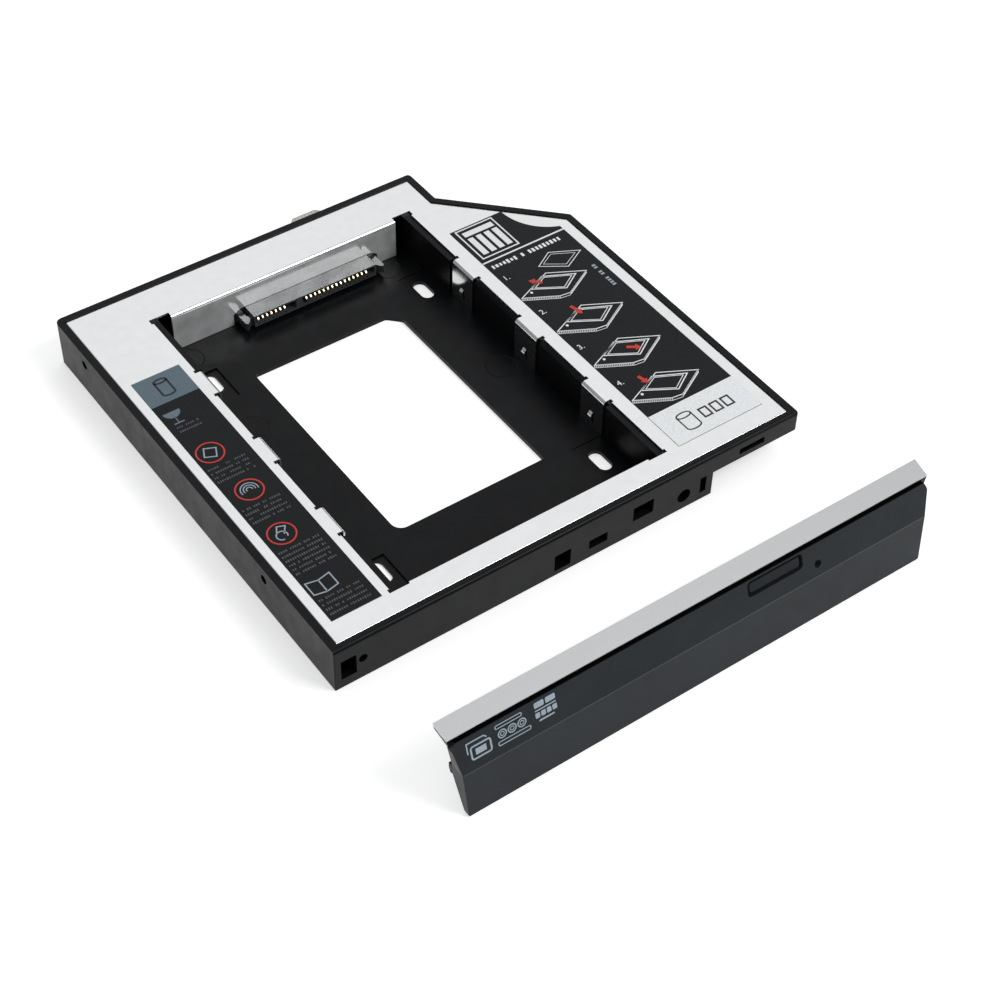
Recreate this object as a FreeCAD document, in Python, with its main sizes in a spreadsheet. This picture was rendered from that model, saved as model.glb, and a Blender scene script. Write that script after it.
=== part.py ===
"""Laptop drive caddy: a tray the size of a 12.7 mm optical drive that carries a 2.5 inch drive,
with its sheet steel plate, drive socket, adapter board, labels, and a clip-on faceplate.
The origin is the middle of the tray's front edge, on its underside: +X right, +Y back, +Z up.
"""
import FreeCAD, Part
import os
import re
import Sketcher
from FreeCAD import Rotation, Vector

doc = FreeCAD.newDocument("drive_caddy")

# Driving sizes in millimetres
SIZES = {
    # tray
    "tray_width": 128.0,
    "tray_length": 126.1,
    "tray_height": 12.7,
    "tail_length": 12.1,
    "channel_width": 8.4,
    "wing_under": 7.1,
    "wall": 1.8,
    "tray_floor": 1.2,
    "wing_floor": 1.2,
    "front_round": 0.9,
    "left_back_round": 1.8,
    "tail_round": 1.0,
    "small_round": 0.3,
    # bay for the drive
    "bay_from_left": 56.8,
    "bay_width": 71.2,
    "bay_front": 7.5,
    "bay_front_wall": 1.2,
    "rail_wall": 1.2,
    "rail_set_back": 0.9,
    "rail_gap": 0.1,
    "rib_wall": 1.2,
    # window in the floor
    "window_left_gap": 14.6,
    "window_right_gap": 15.3,
    "window_front": 30.3,
    "window_back_gap": 18.4,
    "window_round": 2.8,
    "window_bevel": 3.2,
    "window_back_round": 1.0,
    "window_bevel_round": 1.5,
    # slots for the drive's screws
    "slot_side_gap": 4.75,
    "slot_shift": 0.1,
    "first_slot": 22.5,
    "last_slot_gap": 15.0,
    "slot_width": 3.5,
    "slot_length": 7.0,
    "slot_pocket_width": 8.2,
    "slot_pocket_before": 7.4,
    "slot_pocket_after": 4.05,
    "slot_pocket_depth": 0.5,
    "right_pocket_after": 6.5,
    "right_pocket_depth": 0.2,
    # screw holes in the left wall
    "side_hole_radius": 1.15,
    "side_hole_first": 28.4,
    "side_hole_back_gap": 14.8,
    "side_hole_height": 9.4,
    "side_boss_width": 5.0,
    "side_boss_depth": 3.2,
    # openings in the front wall: place, width, underside and height
    "latch_left_edge": 3.6,
    "latch_left_width": 3.9,
    "latch_left_low": 2.8,
    "latch_left_height": 5.7,
    "peg_hole_left": 4.15,
    "peg_hole_width": 4.5,
    "peg_hole_low": 1.6,
    "peg_hole_height": 4.9,
    "light_hole_x": 5.8,
    "light_hole_width": 5.2,
    "light_hole_low": 3.0,
    "light_hole_height": 2.7,
    "latch_right_x": 18.5,
    "latch_right_width": 5.8,
    "latch_right_low": 4.6,
    "latch_right_height": 4.2,
    "slit_edge": 2.8,
    "slit_width": 1.8,
    "slit_low": 2.4,
    "slit_height": 4.7,
    "wing_slot_edge": 13.75,
    "wing_slot_width": 7.5,
    "wing_slot_low": 8.6,
    "wing_slot_height": 1.7,
    "pin_hole_edge": 7.2,
    "pin_hole_radius": 1.1,
    "pin_hole_height": 6.3,
    "round_hole_x": 30.5,
    "round_hole_radius": 1.9,
    "round_hole_height": 4.3,
    # sheet steel plate
    "plate_thickness": 0.5,
    "plate_drop": 0.3,
    "rim_gap": 0.1,
    "bend_radius": 0.5,
    "lip_depth": 1.4,
    "lip_round": 0.45,
    "rail_show": 1.8,
    "front_show": 0.4,
    "board_room": 14.2,
    "flange_side_gap": 3.1,
    "relief_width": 5.4,
    "relief_depth": 0.7,
    "corner_notch": 0.5,
    "corner_notch_front": 4.7,
    "corner_notch_side": 0.6,
    "sheet_floor_gap": 0.15,
    # spring tabs of the plate
    "first_tab": 32.8,
    "last_tab_gap": 25.3,
    "tab_length": 8.6,
    "tab_gap": 0.2,
    "tab_relief": 1.0,
    "tab_relief_depth": 0.5,
    "tab_zone_margin": 1.0,
    "tongue_width": 1.2,
    "tongue_low": 1.3,
    "tongue_height": 3.5,
    "tongue_bulge": 0.8,
    "tongue_slit": 0.3,
    # drive socket
    "socket_side_gap": 9.75,
    "nose_width": 35.9,
    "nose_low": 2.3,
    "nose_height": 3.4,
    "nose_reach": 4.6,
    "ear_gap": 0.9,
    "ear_width": 1.55,
    "ear_height": 2.2,
    "ear_reach": 4.9,
    "ear_bevel": 1.0,
    "ear_web": 1.4,
    "ear_web_set_back": 0.3,
    "cutout_gap": 0.1,
    "cutout_side": 0.9,
    "cutout_corner": 2.0,
    "cutout_rise": 1.2,
    "socket_depth": 6.4,
    "socket_side": 1.6,
    "socket_gap": 0.1,
    "mouth_side": 0.5,
    "mouth_low": 1.0,
    "mouth_height": 1.9,
    "mouth_depth": 4.0,
    "key_offset": 4.95,
    "key_width": 1.8,
    "leg_drop": 0.5,
    "signal_leg": 2.4,
    "power_leg": 1.4,
    # contacts
    "contact_pitch": 1.27,
    "contact_width": 0.55,
    "contact_thickness": 0.25,
    "contact_set_back": 0.15,
    "contact_clear": 0.05,
    "contact_drop": 1.25,
    "contact_hook": 0.3,
    "lip_notch_width": 0.5,
    "lip_notch_drop": 0.15,
    "lip_notch_height": 0.4,
    "lip_notch_depth": 0.5,
    "signal_first": 16.65,
    "power_first": 2.6,
    # adapter board
    "board_overhang": 6.6,
    "board_length": 10.0,
    "board_thickness": 1.0,
    "board_set_back": 1.0,
    "board_lift": 0.3,
    "screw_edge": 2.7,
    "boss_radius": 2.2,
    "screw_radius": 0.75,
    "screw_length": 3.5,
    "screw_head_radius": 1.7,
    "screw_head_height": 0.9,
    "screw_gap": 0.05,
    "screw_tip_gap": 0.2,
    "screw_slot_width": 0.4,
    "screw_slot_length": 2.4,
    "capacitor_length": 2.0,
    "capacitor_width": 1.2,
    "capacitor_height": 1.0,
    "capacitor_pitch": 4.0,
    # rear plug
    "plug_offset": 11.0,
    "plug_width": 13.9,
    "plug_height": 2.5,
    "plug_reach": 4.8,
    "plug_shoulder": 0.9,
    "plug_bevel": 3.65,
    "plug_inside": 4.8,
    "plug_gap": 0.1,
    "blade_pitch": 1.0,
    "blade_width": 0.5,
    "blade_depth": 0.25,
    "blade_proud": 0.05,
    "blade_end": 0.3,
    # labels
    "label_thickness": 0.1,
    "label_edge": 2.6,
    "label_bay_edge": 2.2,
    "left_label_front": 7.8,
    "left_label_length": 88.0,
    "right_label_edge": 3.0,
    "right_label_bay_edge": 3.8,
    "right_label_front": 7.2,
    "label_curve_radius": 14.0,
    "label_curve_rise": 11.0,
    "right_label_back": 11.15,
    # faceplate
    "face_rest": 42.4,
    "face_shift": 2.87,
    "face_side_gap": 2.1,
    "lower_height": 12.4,
    "lower_lean": 1.4,
    "lower_flare": 0.6,
    "upper_height": 8.15,
    "upper_lean": 2.5,
    "upper_flare": 1.5,
    "groove_rise": 0.35,
    "groove_depth": 0.8,
    "ledge_rise": 1.25,
    "ledge_depth": 4.45,
    "top_flare": 0.45,
    "ledge_wall": 1.3,
    "trim_thickness": 0.8,
    "shell": 1.5,
    "shell_top": 1.0,
    "end_depth": 5.2,
    "end_heel": 9.0,
    "face_corner_round": 0.5,
    "brow_round": 5.0,
    "brow_drop": 3.0,
    "brow_cut": 1.2,
    "seat_gap": 0.3,
    # hooks of the faceplate
    "hook_reach": 3.2,
    "hook_wall": 1.4,
    "hook_top": 8.0,
    "barb_drop": 1.2,
    "barb_length": 1.1,
    "hook_side": 1.15,
    "hook_shift": 0.3,
    "hook_root": 0.2,
    "peg_side": 0.75,
    "peg_wall": 1.6,
    "peg_height": 3.9,
    "tongue_side": 1.0,
    "tongue_clear": 0.4,
    # eject button
    "button_offset": 19.4,
    "button_hole_width": 14.6,
    "button_hole_height": 3.1,
    "button_hole_low": 4.4,
    "button_gap": 0.4,
    "button_corner": 0.5,
    "button_sink": 0.25,
    "button_flange": 1.1,
    "button_flange_thickness": 0.8,
    "pinhole_offset": 31.15,
    "pinhole_height": 3.1,
    "pinhole_radius": 0.95,
}

# How many of each repeated feature
TABS = 3
RIBS = 2
SIGNAL_CONTACTS = 7
POWER_CONTACTS = 15
BLADES = 6
CAPACITORS = 3

# Sizes worked out from the driving ones
WORKED = {
    "half": "tray_width / 2",
    "bay_centre": "bay_from_left - half",
    "bay_half": "bay_width / 2",
    "rail_depth": "rail_set_back + rail_wall",
    "tail_side": "bay_centre + bay_half + rail_depth + channel_width",
    "corner_cut": "half - tail_side",
    "corner_start": "tray_length - tail_length - corner_cut",
    "corner_slope": "sqrt(2) - 1",
    "flange_face": "tray_length - board_room",
    "flange_width": "bay_width - 2 * flange_side_gap",
    "tab_pitch": "(flange_face - last_tab_gap - first_tab) / 2",
    "window_width": "bay_width - window_left_gap - window_right_gap",
    "window_length": "flange_face - window_back_gap - window_front",
    "slot_spacing_x": "bay_width - 2 * slot_side_gap",
    "slot_spacing_y": "flange_face - last_slot_gap - first_slot",
    "side_hole_spacing": "tray_length - side_hole_back_gap - side_hole_first",
    "latch_left_x": "latch_left_edge - half",
    "pin_hole_x": "pin_hole_edge - half",
    "peg_hole_x": "0 - peg_hole_left",
    "wing_slot_x": "half - wing_slot_edge",
    "slit_x": "tail_side - slit_edge",
    "plate_top": "tray_height - plate_drop",
    "plate_under": "plate_top - plate_thickness",
    "plate_inset": "wall + rim_gap",
    "bend_outer": "bend_radius + plate_thickness",
    "rail_top": "plate_under - rail_gap",
    "opening_half": "bay_half + rail_show",
    "opening_front": "bay_front + front_show",
    "opening_back": "flange_face + bend_outer",
    "tab_face": "bay_half + rail_set_back - tab_gap - plate_thickness",
    "sheet_low": "tray_floor + sheet_floor_gap",
    "tongue_radius": "(tongue_height ^ 2 / 4 + tongue_bulge ^ 2) / (2 * tongue_bulge)",
    "tongue_middle": "sheet_low + tongue_low + tongue_height / 2",
    "nose_half": "nose_width / 2",
    "ear_inner": "nose_half + ear_gap",
    "ear_outer": "ear_inner + ear_width",
    "socket_centre": "bay_centre + bay_half - socket_side_gap - ear_outer",
    "nose_face": "flange_face - nose_reach",
    "nose_top": "nose_low + nose_height",
    "socket_back": "flange_face + plate_thickness + socket_gap",
    "mouth_z": "nose_low + mouth_low",
    "mouth_end": "nose_face + mouth_depth",
    "key_left": "socket_centre - key_offset - key_width / 2",
    "key_right": "key_left + key_width",
    "contact_front": "nose_face + contact_set_back",
    "contact_top": "mouth_z + mouth_height - contact_clear",
    "contact_low": "contact_top - contact_drop",
    "board_front": "flange_face + plate_thickness + board_set_back",
    "board_under": "nose_top + board_lift",
    "board_top": "board_under + board_thickness",
    "board_half": "ear_outer + board_overhang",
    "boss_reach": "board_half - screw_edge",
    "boss_y": "board_front + board_length / 2",
    "plug_centre": "socket_centre + plug_offset",
    "plug_half": "plug_width / 2",
    "plug_top": "board_top + plug_height",
    "plug_tip": "tray_length + plug_reach",
    "face_y": "0 - face_rest",
    "face_half": "half - face_side_gap",
    "crease_half": "face_half + lower_flare",
    "brow_half": "crease_half + upper_flare",
    "top_half": "brow_half + top_flare",
    "crease_y": "face_y + lower_lean",
    "brow_y": "crease_y + upper_lean",
    "brow_z": "lower_height + upper_height",
    "brow_centre": "brow_half - brow_cut - sqrt(brow_round ^ 2 - brow_drop ^ 2)",
    "ledge_y": "brow_y + groove_depth",
    "ledge_z": "brow_z + groove_rise",
    "ledge_back": "ledge_y + ledge_depth",
    "ledge_back_z": "ledge_z + ledge_rise",
    "face_top": "ledge_back_z + trim_thickness",
    "cavity_top": "brow_z - shell_top",
    "lean": "upper_lean / upper_height",
    "cavity_top_y": "crease_y + shell + lean * (cavity_top - lower_height)",
    "end_y": "face_y + end_depth",
    "seat_y": "end_y + seat_gap",
    "hook_tip": "seat_y + hook_reach",
    "button_x": "face_shift + button_offset",
    "button_z": "lower_height + button_hole_low",
    "cap_low": "button_z + button_gap",
    "cap_high": "button_z + button_hole_height - button_gap",
    "flange_low": "button_z - button_flange",
    "flange_high": "cavity_top - button_gap",
    "flange_inner": "shell + button_gap",
    "flange_outer": "flange_inner + button_flange_thickness",
}


def make_sheet(name, cells, text):
    sheet = doc.addObject("Spreadsheet::Sheet", name)
    for row, (alias, value) in enumerate(cells.items(), start=1):
        sheet.set(f"A{row}", alias)
        sheet.set(f"B{row}", text(value))
        sheet.setAlias(f"B{row}", alias)
    return sheet


def bound(text):
    """Point each size named in a formula at the sheet that holds it."""
    def place(found):
        word = found.group()
        if word in SIZES:
            return "Dims." + word
        if word in WORKED:
            return "Worked." + word
        return word
    return re.sub(r"[a-z_]+", place, str(text))


dims = make_sheet("Dims", SIZES, str)
worked = make_sheet("Worked", WORKED, lambda formula: "=" + bound(formula))
doc.recompute()


def size(name):
    return float(getattr(dims if name in SIZES else worked, name))


def place(item, x, y, z):
    for axis, text in zip("xyz", (x, y, z)):
        item.setExpression("Placement.Base." + axis, bound(text))
    return item


def box(name, x, y, z, length, width, height):
    """A block from its lowest corner."""
    item = doc.addObject("Part::Box", name)
    item.setExpression("Length", bound(length))
    item.setExpression("Width", bound(width))
    item.setExpression("Height", bound(height))
    return place(item, x, y, z)


def rod(name, x, y, z, radius, length, along="z"):
    """A cylinder from the middle of its first end."""
    item = doc.addObject("Part::Cylinder", name)
    turns = {
        "x": (Vector(0, 1, 0), 90),
        "y": (Vector(1, 0, 0), -90),
        "z": (Vector(0, 0, 1), 0),
    }
    item.Placement.Rotation = Rotation(*turns[along])
    item.setExpression("Radius", bound(radius))
    item.setExpression("Height", bound(length))
    return place(item, x, y, z)


def prism(name, along, points, start, length):
    """A straight-sided outline drawn across one axis and drawn out along it.
    It begins as a regular figure, whose corners are then put in their places.
    """
    outline = doc.addObject("Sketcher::SketchObject", name + "_outline")
    turns = {
        "x": Rotation(Vector(1, 1, 1), 120),
        "y": Rotation(Vector(1, 0, 0), 90),
        "z": Rotation(),
    }
    normals = {"x": Vector(1, 0, 0), "y": Vector(0, 1, 0), "z": Vector(0, 0, 1)}
    outline.Placement.Rotation = turns[along]
    count = len(points)
    spread = Rotation(Vector(0, 0, 1), 360 / count)
    corners = [Vector(1, 0, 0)]
    for _ in range(count - 1):
        corners.append(spread.multVec(corners[-1]))
    for index in range(count):
        outline.addGeometry(Part.LineSegment(corners[index], corners[(index + 1) % count]))
    for index in range(count):
        outline.addConstraint(Sketcher.Constraint("Coincident", index, 2, (index + 1) % count, 1))
    for index, (across, up) in enumerate(points):
        start_x, start_y = corners[index].x, corners[index].y
        first = outline.addConstraint(Sketcher.Constraint("DistanceX", -1, 1, index, 1, start_x))
        second = outline.addConstraint(Sketcher.Constraint("DistanceY", -1, 1, index, 1, start_y))
        outline.setExpression(f"Constraints[{first}]", bound(across))
        outline.setExpression(f"Constraints[{second}]", bound(up))
    outline.setExpression("Placement.Base." + along, bound(start))
    item = doc.addObject("Part::Extrusion", name)
    item.Base = outline
    item.DirMode = "Custom"
    item.Dir = normals[along]
    item.Solid = True
    item.setExpression("LengthFwd", bound(length))
    return item


def fuse(name, *pieces):
    item = doc.addObject("Part::MultiFuse", name)
    item.Shapes = list(pieces)
    item.Refine = True
    return item


def cut(name, base, *tools):
    item = doc.addObject("Part::Cut", name)
    item.Base = base
    item.Tool = tools[0] if len(tools) == 1 else fuse(name + "_tools", *tools)
    item.Refine = True
    return item


def common(name, first, second):
    item = doc.addObject("Part::Common", name)
    item.Base = first
    item.Tool = second
    return item


def group(name, pieces):
    item = doc.addObject("Part::Compound", name)
    item.Links = list(pieces)
    return item


def rounded(name, base, *rounds):
    """Round edges: each round is a radius and a test of the edge."""
    doc.recompute()
    edges = []
    for index, edge in enumerate(base.Shape.Edges, start=1):
        for radius, wanted in rounds:
            if wanted(edge):
                edges.append((index, radius, radius))
                break
    item = doc.addObject("Part::Fillet", name)
    item.Base = base
    item.Edges = edges
    return item


def near(value, goal):
    return abs(value - goal) < 0.01


def upright_at(x, y):
    """A test for the upright edge that stands at a place."""
    def wanted(edge):
        span = edge.BoundBox
        across = near(span.XMin, x) and near(span.XMax, x)
        along = near(span.YMin, y) and near(span.YMax, y)
        return span.ZLength > 0.5 and across and along
    return wanted


def obround(name, x, y, z, width, length, height):
    """A slot that runs along Y with round ends, from its middle."""
    straight = box(name + "_straight", f"{x} - {width} / 2", f"{y} - ({length} - {width}) / 2", z,
                   width, f"{length} - {width}", height)
    near_end = rod(name + "_near", x, f"{y} - ({length} - {width}) / 2", z, f"{width} / 2", height)
    far_end = rod(name + "_far", x, f"{y} + ({length} - {width}) / 2", z, f"{width} / 2", height)
    return fuse(name, straight, near_end, far_end)


# Tray: one black moulding with a thin wing on the right and a cut corner at the back
def build_tray():
    outline = prism("tray_outline", "z", [
        ("0 - half", "0"),
        ("half", "0"),
        ("half", "corner_start"),
        ("tail_side", "corner_start + corner_cut"),
        ("tail_side", "tray_length"),
        ("0 - half", "tray_length"),
    ], "0", "tray_height")

    def front_top(edge):
        span = edge.BoundBox
        return span.XLength > 10 and near(span.YMin, 0) and near(span.ZMin, size("tray_height"))

    def foot(edge):
        return near(edge.BoundBox.ZMax, 0)

    block = rounded(
        "tray_block", outline,
        (size("left_back_round"), upright_at(-size("half"), size("tray_length"))),
        (size("tail_round"), upright_at(size("tail_side"), size("tray_length"))),
        (size("tail_round"), upright_at(size("half"), size("corner_start"))),
        (size("small_round"), upright_at(-size("half"), 0)),
        (size("small_round"), upright_at(size("half"), 0)),
        (size("front_round"), front_top),
        (size("small_round"), foot),
    )
    below_wing = box("below_wing", "tail_side", "-1", "-1",
                     "corner_cut + 1", "tray_length + 2", "wing_under + 1")

    inner_left = "0 - half + wall"
    deep = box("deep_hollow", inner_left, "wall", "tray_floor",
               "tray_width - corner_cut - 2 * wall", "tray_length - 2 * wall", "tray_height")
    wing_hollow = prism("wing_hollow", "z", [
        ("tail_side - wall - 1", "wall"),
        ("half - wall", "wall"),
        ("half - wall", "corner_start - corner_slope * wall"),
        ("tail_side - wall", "corner_start + corner_cut - corner_slope * wall"),
        ("tail_side - wall - 1", "corner_start + corner_cut - corner_slope * wall"),
    ], "wing_under + wing_floor", "tray_height")
    shell = cut("tray_shell", block, below_wing, deep, wing_hollow)

    # walls beside the bay, set back where the plate's tabs hang
    rail_length = "tray_length - wall - bay_front + bay_front_wall + 0.1"
    rail_y = "bay_front - bay_front_wall"
    rail_height = "rail_top - tray_floor + 0.1"
    left_rail = box("left_rail", "bay_centre - bay_half - rail_depth", rail_y, "tray_floor - 0.1",
                    "rail_depth", rail_length, rail_height)
    right_rail = box("right_rail", "bay_centre + bay_half", rail_y, "tray_floor - 0.1",
                     "rail_depth", rail_length, rail_height)
    front_rail = box("front_rail", "bay_centre - bay_half - 0.1", rail_y, "tray_floor - 0.1",
                     "bay_width + 0.2", "bay_front_wall", rail_height)
    zone_y = "first_tab - tab_length / 2 - tab_zone_margin"
    zone_length = f"{TABS - 1} * tab_pitch + tab_length + 2 * tab_zone_margin"
    zones = []
    for side, x in (("left", "bay_centre - bay_half - rail_set_back"),
                    ("right", "bay_centre + bay_half")):
        zones.append(box(side + "_zone", x, zone_y, "tray_floor",
                         "rail_set_back", zone_length, "tray_height"))
    ease = "2 * bend_radius"
    for side, x, slope in (("left", "bay_centre - bay_half - rail_set_back", "-"),
                           ("right", "bay_centre + bay_half + rail_set_back", "+")):
        zones.append(prism(side + "_ease", "y", [
            (x, f"rail_top - {ease}"),
            (x, "rail_top + 0.5"),
            (f"{x} {slope} 0.5 * {ease}", "rail_top + 0.5"),
            (f"{x} {slope} 0.5 * {ease}", "rail_top"),
        ], zone_y, zone_length))

    # ribs that carry the plate
    ribs = []
    left_span = "bay_from_left - bay_half - rail_depth - wall - 2 * bend_outer + 0.1"
    wing_span = "half - wall - bay_centre - bay_half - rail_depth + 0.2"
    for index in range(RIBS):
        y = f"corner_start * {index + 1} / {RIBS + 1} - rib_wall / 2"
        ribs.append(box(f"left_rib_{index}", "0 - half + wall + 2 * bend_outer", y, "tray_floor - 0.1",
                        left_span, "rib_wall", "plate_under - tray_floor + 0.1"))
        ribs.append(box(f"wing_rib_{index}", "bay_centre + bay_half + rail_depth - 0.1", y,
                        "wing_under + wing_floor - 0.1",
                        wing_span, "rib_wall", "plate_under - wing_under - wing_floor + 0.1"))

    # bosses behind the screw holes, and posts under the board
    bosses = []
    for index in range(2):
        y = f"side_hole_first + {index} * side_hole_spacing"
        bosses.append(box(f"side_boss_{index}", "0 - half + wall - 0.1", f"{y} - side_boss_width / 2",
                          "tray_floor - 0.1", "side_boss_depth + 0.1", "side_boss_width",
                          "plate_top - lip_depth - 0.2 - tray_floor + 0.1"))
    for index, side in enumerate("-+"):
        bosses.append(rod(f"board_post_{index}", f"socket_centre {side} boss_reach", "boss_y",
                          "tray_floor - 0.1", "boss_radius", "board_under - tray_floor + 0.1"))
    rails = cut("tray_rails", fuse("rail_set", left_rail, right_rail, front_rail), *zones)
    filled = fuse("tray_filled", shell, rails, *ribs, *bosses)

    # openings of the front wall
    holes = []
    for hole in ("latch_left", "peg_hole", "light_hole", "latch_right", "slit", "wing_slot"):
        holes.append(box(hole, f"{hole}_x - {hole}_width / 2", "-1", f"{hole}_low",
                         f"{hole}_width", "wall + 1.5", f"{hole}_height"))
    holes.append(rod("pin_hole", "pin_hole_x", "-1", "pin_hole_height",
                     "pin_hole_radius", "wall + 1.5", "y"))
    holes.append(rod("round_hole", "round_hole_x", "-1", "round_hole_height",
                     "round_hole_radius", "wall + 1.5", "y"))

    # screw holes of the left wall and the board's posts
    for index in range(2):
        y = f"side_hole_first + {index} * side_hole_spacing"
        holes.append(rod(f"side_hole_{index}", "0 - half - 1", y, "side_hole_height",
                         "side_hole_radius", "wall + side_boss_depth", "x"))
    for index, side in enumerate("-+"):
        holes.append(rod(f"post_hole_{index}", f"socket_centre {side} boss_reach", "boss_y",
                         "board_under - screw_length", "screw_radius + screw_gap", "screw_length + 1"))

    # slots for the drive's screws, each in a shallow pocket
    for row in range(2):
        for index, side in enumerate("-+"):
            name = f"drive_slot_{row}{index}"
            x = f"bay_centre + slot_shift {side} slot_spacing_x / 2"
            y = f"first_slot + {row} * slot_spacing_y"
            holes.append(obround(name, x, y, "-1", "slot_width", "slot_length", "tray_floor + 2"))
            if side == "-":
                pocket_x, after, depth = "bay_centre - bay_half", "slot_pocket_after", "slot_pocket_depth"
            else:
                pocket_x = "bay_centre + bay_half - slot_pocket_width"
                after, depth = "right_pocket_after", "right_pocket_depth"
            holes.append(box(name + "_pocket", pocket_x, f"{y} - slot_pocket_before",
                             f"tray_floor - {depth}", "slot_pocket_width",
                             f"slot_pocket_before + {after}", "1"))

    # window through the floor
    left = "bay_centre - bay_half + window_left_gap"
    right = f"{left} + window_width"
    back = "window_front + window_length"
    window = prism("window", "z", [
        (left, "window_front"),
        (right, "window_front"),
        (right, f"{back} - window_bevel"),
        (f"{right} - window_bevel", back),
        (left, back),
    ], "-1", "tray_floor + 2")
    left_x = size("bay_centre") - size("bay_half") + size("window_left_gap")
    right_x = left_x + size("window_width")
    back_y = size("window_front") + size("window_length")
    bevel = size("window_bevel")
    holes.append(rounded(
        "window_soft", window,
        (size("window_round"), upright_at(left_x, size("window_front"))),
        (size("window_back_round"), upright_at(left_x, back_y)),
        (size("window_bevel_round"), upright_at(right_x - bevel, back_y)),
        (size("window_bevel_round"), upright_at(right_x, back_y - bevel)),
    ))

    # gap in the back wall for the rear plug
    holes.append(box("plug_gap_cut", "plug_centre - plug_half - plug_gap", "tray_length - wall - 1",
                     "board_top - plug_gap",
                     "plug_width + 2 * plug_gap", "wall + 2", "plug_height + 2 * plug_gap"))
    return cut("tray_frame", filled, *holes)


# Plate: folded sheet steel that rests inside the tray's rim, with spring tabs and a back flange
def build_plate():
    inset = "plate_inset"
    sheet = prism("plate_outline", "z", [
        (f"0 - half + {inset}", inset),
        (f"half - {inset}", inset),
        (f"half - {inset}", f"corner_start - corner_slope * {inset}"),
        (f"tail_side - {inset}", f"corner_start + corner_cut - corner_slope * {inset}"),
        (f"tail_side - {inset}", f"tray_length - {inset}"),
        (f"0 - half + {inset}", f"tray_length - {inset}"),
    ], "plate_under", "plate_thickness")
    front_lip = box("front_lip", f"0 - half + {inset}", inset, "plate_top - lip_depth",
                    f"tray_width - 2 * {inset}", "plate_thickness", "lip_depth")
    left_lip = box("left_lip", f"0 - half + {inset}", inset, "plate_top - lip_depth",
                   "plate_thickness", f"tray_length - 2 * {inset}", "lip_depth")
    edge_x = size("plate_inset") - size("half")
    edge_y = size("plate_inset")

    def lip_fold(edge):
        span = edge.BoundBox
        along_left = span.YLength > 5 and near(span.XMin, edge_x) and near(span.XMax, edge_x)
        along_front = span.XLength > 5 and near(span.YMin, edge_y) and near(span.YMax, edge_y)
        return near(span.ZMin, size("plate_top")) and (along_left or along_front)

    lipped = rounded("plate_lipped", fuse("plate_sheet", sheet, front_lip, left_lip),
                     (size("lip_round"), lip_fold))

    # the opening over the bay, with relief notches at the ends of the folds
    opening = box("opening", "bay_centre - opening_half", "opening_front", "plate_under - 1",
                  "2 * opening_half", "opening_back - opening_front", "plate_thickness + 2")
    reliefs = [opening]
    half_flange = "flange_width / 2"
    for side, x in (("left", f"bay_centre - {half_flange} - relief_width"),
                    ("right", f"bay_centre + {half_flange}")):
        reliefs.append(box(side + "_relief", x, "flange_face", "plate_under - 1",
                           "relief_width", "bend_outer + relief_depth", "plate_thickness + 2"))
    for side, x in (("left", "bay_centre - opening_half"),
                    ("right", "bay_centre + opening_half - corner_notch_front")):
        reliefs.append(box(side + "_corner_front", x, "opening_front - corner_notch", "plate_under - 1",
                           "corner_notch_front", "corner_notch + 1", "plate_thickness + 2"))
    for side, x in (("left", "bay_centre - opening_half - corner_notch"),
                    ("right", "bay_centre + opening_half - 1")):
        reliefs.append(box(side + "_corner_side", x, "opening_front - corner_notch", "plate_under - 1",
                           "corner_notch + 1", "corner_notch + corner_notch_side", "plate_thickness + 2"))
    tab_ends = []
    for index in range(TABS):
        y = f"first_tab + {index} * tab_pitch"
        for end, start in (("near", f"{y} - tab_length / 2 - tab_relief"),
                           ("far", f"{y} + tab_length / 2")):
            for side, x in (("left", "bay_centre - opening_half - tab_relief_depth"),
                            ("right", "bay_centre + opening_half")):
                tab_ends.append(box(f"{side}_{end}_notch_{index}", x, start, "plate_under - 1",
                                    "tab_relief_depth", "tab_relief", "plate_thickness + 2"))
    flat = cut("plate_flat", lipped, *reliefs, *tab_ends)

    # back flange, folded down behind the drive, cut out for the socket
    fold = prism("flange_fold", "x", [
        ("flange_face", "sheet_low"),
        ("flange_face + plate_thickness", "sheet_low"),
        ("flange_face + plate_thickness", "plate_under"),
        ("opening_back + relief_depth", "plate_under"),
        ("opening_back + relief_depth", "plate_top"),
        ("flange_face", "plate_top"),
    ], f"bay_centre - {half_flange}", "flange_width")

    def bend_at(y, z):
        def wanted(edge):
            span = edge.BoundBox
            in_line = near(span.YMin, y) and near(span.YMax, y)
            level = near(span.ZMin, z) and near(span.ZMax, z)
            return span.XLength > 1 and in_line and level
        return wanted

    face = size("flange_face")
    flange = rounded(
        "flange", fold,
        (size("bend_radius"), bend_at(face + size("plate_thickness"), size("plate_under"))),
        (size("bend_outer"), bend_at(face, size("plate_top"))),
    )
    cutout = prism("flange_cutout", "y", [
        ("socket_centre - ear_outer - cutout_side", "0"),
        ("socket_centre + ear_outer + cutout_side", "0"),
        ("socket_centre + ear_outer + cutout_side", "nose_top + cutout_gap - cutout_rise"),
        ("socket_centre + ear_outer + cutout_side - cutout_corner", "nose_top + cutout_gap"),
        ("socket_centre - ear_outer - cutout_side + cutout_corner", "nose_top + cutout_gap"),
        ("socket_centre - ear_outer - cutout_side", "nose_top + cutout_gap - cutout_rise"),
    ], "flange_face - 1", "plate_thickness + 2")
    pierced = cut("flange_pierced", flange, cutout)

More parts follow.
